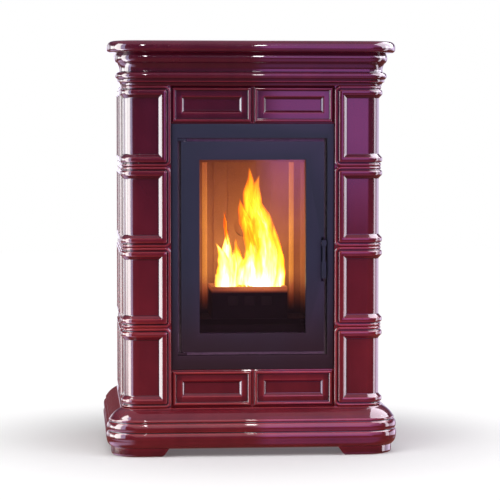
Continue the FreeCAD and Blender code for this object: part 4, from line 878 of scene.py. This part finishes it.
# %% Friezes above and below the door
FRIEZE_PROUD = 4.0
for word in ("lower", "upper"):
    low, high = (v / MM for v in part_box(f"{word}_frieze_tiles"))
    width, height = column_inner, high.z - low.z
    tile = flat_tile_mesh(f"{word}_frieze_tile", width, height, FRIEZE_SECTION, FRIEZE_BEVEL,
                          lambda across, up, out: (across, -out, up))
    first = (-width / 2, low.y + FRIEZE_PROUD, (low.z + high.z) / 2)
    frieze = laid(f"{word}_frieze_glazed", tile, first, 1, 2, (width, 0, 0), LEAN, seed=11)
    settle_glazed(frieze, f"{word}_frieze_tiles")

# %% [markdown]
# ## Painted steel and plastic
#
# The surround, door, lever and lid are bent and welded sheet under a satin black paint, and the panel,
# buttons and mains inlet are moulded. Their CAD shapes are right, and only their edges are too sharp: a
# painted or moulded edge has a small round that catches a line of light. The table gives that round's width
# in millimetres.

# %% Door, surround, lever, lid, hinges and plastic pieces
SOFT_PIECES = [
    (black, "black_steel", {
        "door_surround": (1.2, "stove_body"), "door_frame": (1.2, "door"), "handle_lever": (1.4, "handle"),
        "hopper_lid": (1.5, "lid"), "hinge_brackets": (0.5, "stove_body"),
        "latch_keeper": (0.5, "stove_body"), "glass_clips": (0.4, "door")}),
    (black_plastic, "black_plastic", {
        "control_panel": (0.8, "stove_body"), "mains_inlet": (0.6, "stove_body")}),
    (grey_plastic, "button_plastic", {
        "minus_button": (0.6, "minus_button"), "power_button": (0.6, "power_button"),
        "plus_button": (0.6, "plus_button"), "mains_rocker": (0.5, "rocker")})]
for finish, slot, pieces in SOFT_PIECES:
    for node, (width, body) in pieces.items():
        softened(node, finish, width, body, slot)

# %% Finishes of the CAD nodes that keep their shape
FINISHES = {
    sheet: ["base_tray", "left_inner_panel", "right_inner_panel", "top_frame", "hopper", "front_panel",
            "room_fan_housing", "air_inlet_pipe", "exhaust_housing", "rear_panel"],
    liner_iron: ["firebox_liners", "baffle", "auger_housing", "auger_screw"],
    brazier_iron: ["brazier"],
    soot: ["brazier_stand", "ash_drawer", "firebox"],
    steel: ["hinge_pins", "handle_pin", "lid_hinge_pin", "panel_screws", "igniter", "exhaust_impeller",
            "room_fan_rotor", "levelling_feet"],
    glass: ["door_glass"], rope: ["door_seal"], black_plastic: ["gear_motor", "exhaust_motor"]}
for finish, nodes in FINISHES.items():
    for node in nodes:
        dressed(frame["nodes"][node].data, finish)
print("finished", sum(len(nodes) for nodes in FINISHES.values()), "CAD nodes")

# %% [markdown]
# ## Ribs on the liners
#
# The iron liners are stiffened by upright ribs, and their rounded faces catch the fire as bright stripes. A
# rib is one half-round bar. Since it repeats at a step, the same tree that lays the tiles sets the ribs
# too.

# %% Liner ribs
def half_round(width, height):
    """An upright bar with a half-round face towards the door, its back at y = 0 and its foot at z = 0."""
    angles = np.linspace(0, math.pi, 9)
    plan = np.stack([np.cos(angles), -np.sin(angles)], 1) * width / 2
    places = [(*point, level) for level in (0.0, height) for point in plan]
    return np.array(places) * MM, tube_faces(2, len(plan))


liner_low, liner_high = (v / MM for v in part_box("firebox_liners"))
RIB_WIDTH, RIB_PLACES, LINER_BACK = 14.0, (-112.0, 131.0), 20.0
FOOT_GAP, HEAD_GAP = 12.0, 2.0
rib_height = liner_high.z - liner_low.z - FOOT_GAP - HEAD_GAP
rib = mesh_of("rib", *half_round(RIB_WIDTH, rib_height), rib_iron)
ribs = laid("liner_ribs", rib, (RIB_PLACES[0], LINER_BACK, liner_low.z + FOOT_GAP), 1, 2,
            (RIB_PLACES[1] - RIB_PLACES[0], 0, 0), seed=2, finish=rib_iron)
settled(ribs, "stove_body", "cast_iron")

# %% [markdown]
# ## Bed of pellets
#
# Wood pellets are short pressed rods, 6 mm thick. They lie in the brazier in every direction and glow from
# within, with a crust of grey ash. Geometry Nodes scatter them over a low dome: points on its faces, a rod
# on each, turned at random about all three axes. The bed rides the brazier, so it lifts out with it.

# %% Embers, and a tree that scatters them
def ember():
    made, place = finish_named("ember", specular_ior_level=0.1, emission_strength=3.0)
    crust = place.noise(160.0, detail=3.0)
    heat = (place.noise(28.0, detail=2.0) * 1.5 - crust * 0.5 - 0.05).held()
    colour = crust.mix((0.02, 0.015, 0.012), (0.30, 0.27, 0.25))
    glow = heat.ramp([
        (0.0, (0.02, 0.001, 0.0)), (0.35, (0.45, 0.05, 0.002)),
        (0.7, (1.0, 0.34, 0.03)), (1.0, (1.0, 0.8, 0.4))])
    return feed(made, base_color=colour, roughness=0.8 + crust * 0.15, emission_color=glow)


def scatter_rule():
    tree, given = new_rule("scatter_pellets", {
        "Count": "Int", "Radius": "Float", "Length": "Float", "Seed": "Int", "Finish": "Material"})
    bed = given["Geometry"]
    spread = bed.make("GeometryNodeDistributePointsOnFaces", {}, {
        "Mesh": bed, "Density": given["Count"], "Seed": given["Seed"]})
    rod = bed.make("GeometryNodeMeshCylinder", {}, {
        "Vertices": 8, "Radius": given["Radius"], "Depth": given["Length"]})
    turn = bed.make("FunctionNodeRandomValue", {"data_type": "FLOAT_VECTOR"}, {
        0: (-1.2, -1.2, 0), 1: (1.2, 1.2, 6.28), "Seed": given["Seed"]})
    pellets = bed.make("GeometryNodeInstanceOnPoints", {}, {
        "Points": spread, "Instance": rod, "Rotation": turn})
    return close_rule(tree, pellets, given["Finish"])


embers = ember()
scatter = scatter_rule()
print("made", embers.name, "and the tree", scatter.name)

# %% The pellets
bowl_low, bowl_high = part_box("brazier")
BED_SIZE, BED_SUNK, BED_DOME, BED_LINES = (0.150, 0.108), 0.022, 0.018, 9
PELLETS_PER_M2, PELLET_RADIUS, PELLET_LENGTH = 26000, 0.003, 0.017
bed_x, bed_y = (bowl_low.x + bowl_high.x) / 2, (bowl_low.y + bowl_high.y) / 2
grid = np.linspace(-1, 1, BED_LINES)
bed_places = [(bed_x + u * BED_SIZE[0] / 2, bed_y + v * BED_SIZE[1] / 2,
               bowl_high.z - BED_SUNK + BED_DOME * (1 - u * u) * (1 - v * v)) for v in grid for u in grid]
bed_faces = [(start, start + 1, start + BED_LINES + 1, start + BED_LINES)
             for start in (r * BED_LINES + c for r in range(BED_LINES - 1) for c in range(BED_LINES - 1))]
bed_mesh = mesh_of("pellet_bed", bed_places, bed_faces, None)
pellets = grown("pellets", bed_mesh, scatter, Count=PELLETS_PER_M2, Radius=PELLET_RADIUS,
                Length=PELLET_LENGTH, Seed=4, Finish=embers)
settled(pellets, "brazier", None)

# %% [markdown]
# ## Fire
#
# The flame is one tall tongue that leans to the right of the brazier, with lower tongues on the left. A
# tongue is a lens carried up a drawn spine: across, height above the brazier's rim and half width, in
# millimetres. It carries two attributes: glow, which picks white, yellow or orange, and cover, which fades
# its edges and tip. A second one, turned about the spine, gives it body from other angles. A volume would
# be truer, but it is slow and doesn't leave Blender.

# %% The finish of the flames
def flame_finish():
    made, place = finish_named(
        "flame", base_color=(0, 0, 0, 1), roughness=1.0, specular_ior_level=0.0, emission_strength=3.4)
    lick = place.noise(24.0, detail=3.0, roughness=0.65, stretch=(1, 1, 0.28))
    thread = place.noise(95.0, detail=2.0, stretch=(1, 1, 0.14))
    warmth = (place.attribute("glow") + lick * 0.9 + thread * 0.5 - 0.72).held()
    colour = warmth.ramp([
        (0.0, (0.22, 0.014, 0.0)), (0.20, (0.60, 0.075, 0.001)), (0.42, (1.0, 0.22, 0.004)),
        (0.62, (1.0, 0.46, 0.020)), (0.80, (1.0, 0.72, 0.20)), (1.0, (1.0, 0.94, 0.72))])
    cover = place.attribute("cover") * (lick * 2.8 + thread * 1.3 - 1.15)
    return feed(made, emission_color=colour, alpha=cover.held())


flame = flame_finish()
print("made", flame.name)

# %% Drawn tongues
TONGUES = [
    ([50, 58, 57, 46, 24, 8, 8, 2], [-10, 58, 124, 172, 208, 244, 284, 326],
     [42, 42, 36, 32, 28, 24, 15, 1], 1.0),
    ([64, 62, 56, 42, 26, 24, 36], [-10, 66, 130, 176, 220, 262, 304], [30, 30, 24, 22, 18, 13, 1], 0.95),
    ([30, 26, 16, 5, -13, -23], [30, 90, 132, 168, 204, 240], [26, 30, 29, 23, 14, 1], 0.66),
    ([84, 92, 88, 80, 72], [-10, 30, 82, 130, 166], [18, 14, 11, 7, 1], 0.72),
    ([-62, -64, -68, -76, -88], [-10, 40, 72, 96, 118], [26, 22, 15, 9, 1], 0.85),
    ([-50, -52, -55, -58, -60], [-10, 45, 90, 122, 150], [26, 23, 15, 8, 1], 0.92),
    ([-56, -60, -64], [112, 158, 206], [6, 5, 1], 0.35),
    ([-26, -27, -29, -28], [-10, 40, 86, 130], [24, 20, 12, 1], 0.86),
    ([2, 3, 6, 12], [-10, 42, 84, 132], [24, 21, 14, 1], 0.82),
    ([20, 22, 18], [-10, 70, 150], [20, 16, 1], 0.9), ([-66, -64, -56], [-10, 26, 84], [28, 26, 4], 0.9),
    ([-8, -4, 4], [-10, 34, 100], [40, 34, 6], 0.86), ([40, 44, 46], [-10, 60, 150], [38, 34, 8], 1.0),
    ([-40, -38, -34], [-10, 30, 92], [34, 32, 10], 0.95), ([16, 18, 20], [-10, 40, 112], [36, 34, 12], 0.95)]
FIRE_DEPTH, DEPTH_SPREAD = -0.072, 0.016
TONGUE_ROWS, TONGUE_COLUMNS = 40, 11
LENS_DEPTH, SWAY, FIRE_HEIGHT = 0.30, 3.0, 330.0
TURNS = ((0.0, 1.0), (1.1, 0.75))
print(len(TONGUES), "tongues, the tallest", max(heights[-1] for _, heights, _, _ in TONGUES), "mm high")

# %% One tongue
rim_top = bowl_high.z


def tongue(random, spine, heights, halves, hottest, depth, turn):
    """One closed tongue of flame, a lens in plan: its places, faces, glow and cover."""
    rise = np.linspace(0, 1, TONGUE_ROWS)
    at = np.linspace(heights[0], heights[-1], TONGUE_ROWS)
    over = np.linspace(-1, 1, TONGUE_COLUMNS)
    across = np.concatenate([over, over[-2:0:-1]])[None]
    face = np.concatenate([-np.ones(TONGUE_COLUMNS), np.ones(TONGUE_COLUMNS - 2)])[None]
    middle, wide = np.interp(at, heights, spine), np.interp(at, heights, halves)
    for _ in range(4):
        middle[1:-1] = (middle[:-2] + 2 * middle[1:-1] + middle[2:]) / 4
        wide[1:-1] = (wide[:-2] + 2 * wide[1:-1] + wide[2:]) / 4
    phase = random.uniform(0, 6.28, 3)
    middle = middle + SWAY * rise * np.sin(phase[0] + 9 * rise)
    ragged = 1 + 0.16 * np.sin(phase[1] + 14 * rise) * rise + 0.10 * np.sin(phase[2] + 31 * rise) * rise
    side = across * (wide * ragged)[:, None]
    bulge = LENS_DEPTH * wide[:, None] * (1 - across ** 2) * face
    x = (middle[:, None] + side * math.cos(turn) - bulge * math.sin(turn)) * MM
    y = depth + (side * math.sin(turn) + bulge * math.cos(turn)) * MM
    z = np.broadcast_to(rim_top + at[:, None] * MM, x.shape)
    cooling = 1.12 - 0.74 * np.clip(at / FIRE_HEIGHT, 0, 1)[:, None] ** 0.8
    glow = hottest * cooling * (1 - 0.42 * np.abs(across) ** 1.6)
    fade = np.clip((1 - rise) * 3.2, 0, 1) * np.clip(rise * 12 + 0.3, 0, 1)
    cover = (1 - np.abs(across) ** 2.6) * fade[:, None]
    faces = tube_faces(TONGUE_ROWS, across.shape[1])
    return np.stack([x, y, z], 2).reshape(-1, 3), faces, glow.ravel(), cover.ravel()


print("the brazier's rim is", round(rim_top, 3), "m above the floor")

# %% The fire
def fire_mesh():
    random = np.random.default_rng(7)
    shapes = []
    for spine, heights, halves, hottest in TONGUES:
        for turn, scale in TURNS:
            depth = FIRE_DEPTH + random.uniform(-DEPTH_SPREAD, DEPTH_SPREAD)
            shapes.append(tongue(random, spine, heights, np.array(halves) * scale, hottest, depth, turn))
    places, faces = joined(*((shape[0], shape[1]) for shape in shapes))
    mesh = mesh_of("flames", places, faces, flame)
    for number, name in ((2, "glow"), (3, "cover")):
        write_values(mesh, name, np.concatenate([shape[number] for shape in shapes]))
    return mesh


settled(fire_mesh(), "stove_body", None)

# %% [markdown]
# ## Floor, light and camera
#
# The stove stands on white, with a soft grey shadow. Its glaze mirrors brightness on both sides and a dim
# space in front: that is why the flat panels stay dark while each rounded edge shows a window. What gloss
# mirrors and what lights the clay are set apart here: a tall window on the left, a cooler one on the right
# and two narrow lamps are seen only in reflections, and soft lights that have no mirror image give the even
# light of a studio. The sky does the same: reflections find a plain room in it, part by part, and
# everything else finds an even grey.

# %% Floor
FLOOR_HALF = 9.0


def pale_floor():
    made, place = finish_named("pale_floor", specular_ior_level=0.1, emission_strength=1.0)
    # The floor is pure white far off, as a backdrop. Within about a metre of the stove it is painted greyer:
    # a painted shade that deepens the soft shadow the lights cast there.
    far = place.make("ShaderNodeVectorMath", {"operation": "LENGTH"}, {0: place}, output=1).step(0.35, 1.0)
    grain = place.noise(3.0).mix((0.58, 0.59, 0.58), (0.60, 0.61, 0.60))
    return feed(made, base_color=far.mix(grain, (0.0, 0.0, 0.0)), roughness=place.noise(5.0) * 0.1 + 0.75,
                emission_color=far.mix((0.09, 0.09, 0.09), (1.0, 1.0, 1.0)))


floor_corners = np.array([(-1, -1, 0), (1, -1, 0), (1, 1, 0), (-1, 1, 0)]) * FLOOR_HALF
floor = new_object("floor", mesh_of("floor", floor_corners, [(0, 1, 2, 3)], pale_floor()))
floor.visible_glossy = floor.visible_transmission = False
print("floor of", 2 * FLOOR_HALF, "m")

# %% Lights
def lamp_at(name, kind, place, watts, colour, mirrored):
    """A lamp. A mirrored one is seen only in reflections, another only lights surfaces."""
    lamp = bpy.data.lights.new(name, kind)
    lamp.energy, lamp.color = watts, colour
    holder = new_object(name, lamp)
    holder.location = place
    holder.visible_camera = holder.visible_transmission = False
    holder.visible_glossy, holder.visible_diffuse = mirrored, not mirrored
    print(name, watts, "W")
    return holder


def area_light(name, place, target, size, *light):
    """A soft rectangle of light, turned to its target."""
    holder = lamp_at(name, "AREA", place, *light)
    holder.data.shape, holder.data.size, holder.data.size_y = "RECTANGLE", *size
    holder.rotation_euler = (Vector(target) - Vector(place)).to_track_quat("-Z", "Y").to_euler()


WHITE, LAVENDER = (1.0, 1.0, 1.0), (0.92, 0.88, 1.0)
area_light("left_window", (-1.20, -0.39, 0.85), (0.0, -0.39, 0.85), (0.42, 1.9), 30, WHITE, True)
area_light("left_shade", (-1.12, -0.75, 0.85), (0.0, -0.70, 0.85), (0.32, 1.9), 9, (0.62, 0.66, 1.0), True)
area_light("right_window", (1.50, -0.20, 1.60), (0.3, -0.2, 0.1), (2.0, 1.5), 78, LAVENDER, True)
area_light("right_wall", (2.05, -0.39, 0.7), (0.25, -0.39, 0.7), (0.46, 2.0), 20, LAVENDER, True)
area_light("plinth_sheen", (-0.05, -1.25, 0.36), (-0.05, -1.25, 0.0), (1.3, 1.5), 9, (1.0, 0.55, 0.58), True)
area_light("left_strip", (-0.327, -2.5, 1.95), (-0.327, 0, 0.6), (0.012, 0.45), 1.2, WHITE, True)
area_light("right_strip", (0.225, -2.5, 1.95), (0.225, 0, 0.6), (0.05, 0.45), 3.0, (1.0, 0.98, 0.95), True)
area_light("left_soft", (-2.6, -2.4, 1.9), (0, 0, 0.6), (2.2, 2.2), 75, (1.0, 0.97, 0.97), False)
area_light("right_soft", (2.8, -1.9, 1.9), (0, 0, 0.6), (2.0, 2.2), 50, LAVENDER, False)
area_light("top_soft", (0.0, -1.2, 3.4), (0, 0, 0.5), (3.0, 2.4), 70, (1.0, 0.98, 1.0), False)
fire_light = lamp_at("fire_light", "POINT", (0, -0.07, 0.54), 5.0, (1.0, 0.42, 0.10), False)
fire_light.data.shadow_soft_size = 0.06

# %% Sky
world = bpy.data.worlds.new("studio")
world.use_nodes = True
bpy.context.scene.world = world
sky = world.node_tree.nodes["Background"]
way = Field(world.node_tree, world.node_tree.nodes.new("ShaderNodeTexCoord").outputs["Generated"])
across, back, up = (way.axis(number) for number in range(3))
right_front = across.step(0.082, 0.098) * back.fall(-0.7, -0.3)
eye_level, below_eyes = up.step(-0.2, 0.0) * up.fall(0.08, 0.32), up.fall(0.06, 0.16)
chimney_breast = back.step(0.94, 0.97) * across.fall(-0.06, -0.045)
far_paint = across.step(-0.5, 0.5).mix((1.9, 1.85, 2.1), (0.60, 0.52, 0.75))
room_parts = {
    "ceiling": (up.step(0.35, 0.9), (0.80, 0.45, 0.60)),
    "right wall": (right_front * up.step(0.0, 0.2), (1.75, 0.74, 1.90)),
    "right floor": (right_front * up.fall(-0.42, -0.26), (0.72, 0.28, 0.75)),
    "right window": (
        right_front * across.fall(0.30, 0.55) * up.step(-0.065, 0.0) * up.fall(0.10, 0.28), (2.1, 0.7, 2.4)),
    "far wall": (
        (back - across * 0.3).step(0.2, 0.5) * eye_level, chimney_breast.mix(far_paint, (0.20, 0.05, 0.06))),
    "left floor": (
        across.fall(-0.75, -0.15) * up.fall(-0.42, -0.30) * up.step(-0.85, -0.65), (2.2, 1.7, 2.6)),
    "right glow": (
        across.step(0.5, 0.7) * back.step(0.0, 0.15) * up.step(-0.24, -0.16) * below_eyes, (2.6, 2.2, 3.0)),
    "left doorway": (
        across.fall(-0.6, -0.5) * back.step(0.07, 0.12) * back.fall(0.48, 0.62) * below_eyes * eye_level,
        (10.0, 10.0, 10.0))}
room = up.step(-0.30, 0.02).mix((0.30, 0.11, 0.08), (0.10, 0.075, 0.13))
for mask, colour in room_parts.values():
    room = mask.mix(room, colour)
paths = world.node_tree.nodes.new("ShaderNodeLightPath").outputs
seen_by = lambda ray: Field(world.node_tree, paths[f"Is {ray} Ray"])
lit = seen_by("Glossy").mix((0.42, 0.42, 0.43), room)
sky_colour = seen_by("Camera").mix(lit, (1.0, 1.0, 1.0))
world.node_tree.links.new(sky_colour.socket, sky.inputs["Color"])
sky.inputs["Strength"].default_value = 1.0
print("parts of the sky:", ", ".join(room_parts))

# %% Camera
CAMERA_AT, CAMERA_TURN, CAMERA_DROP, LENS = (-0.4845, -6.0012, 0.8772), 0.0828, 0.0569, 155.6
camera_data = bpy.data.cameras.new("camera")
camera_data.lens, camera_data.sensor_width = LENS, 36.0
camera = new_object("camera", camera_data)
camera.location = CAMERA_AT
camera.rotation_euler = (math.pi / 2 - CAMERA_DROP, 0.0, -CAMERA_TURN)
bpy.context.scene.camera = camera
bpy.context.scene.view_settings.view_transform = "Standard"
print("camera at", CAMERA_AT, "with a", LENS, "mm lens")
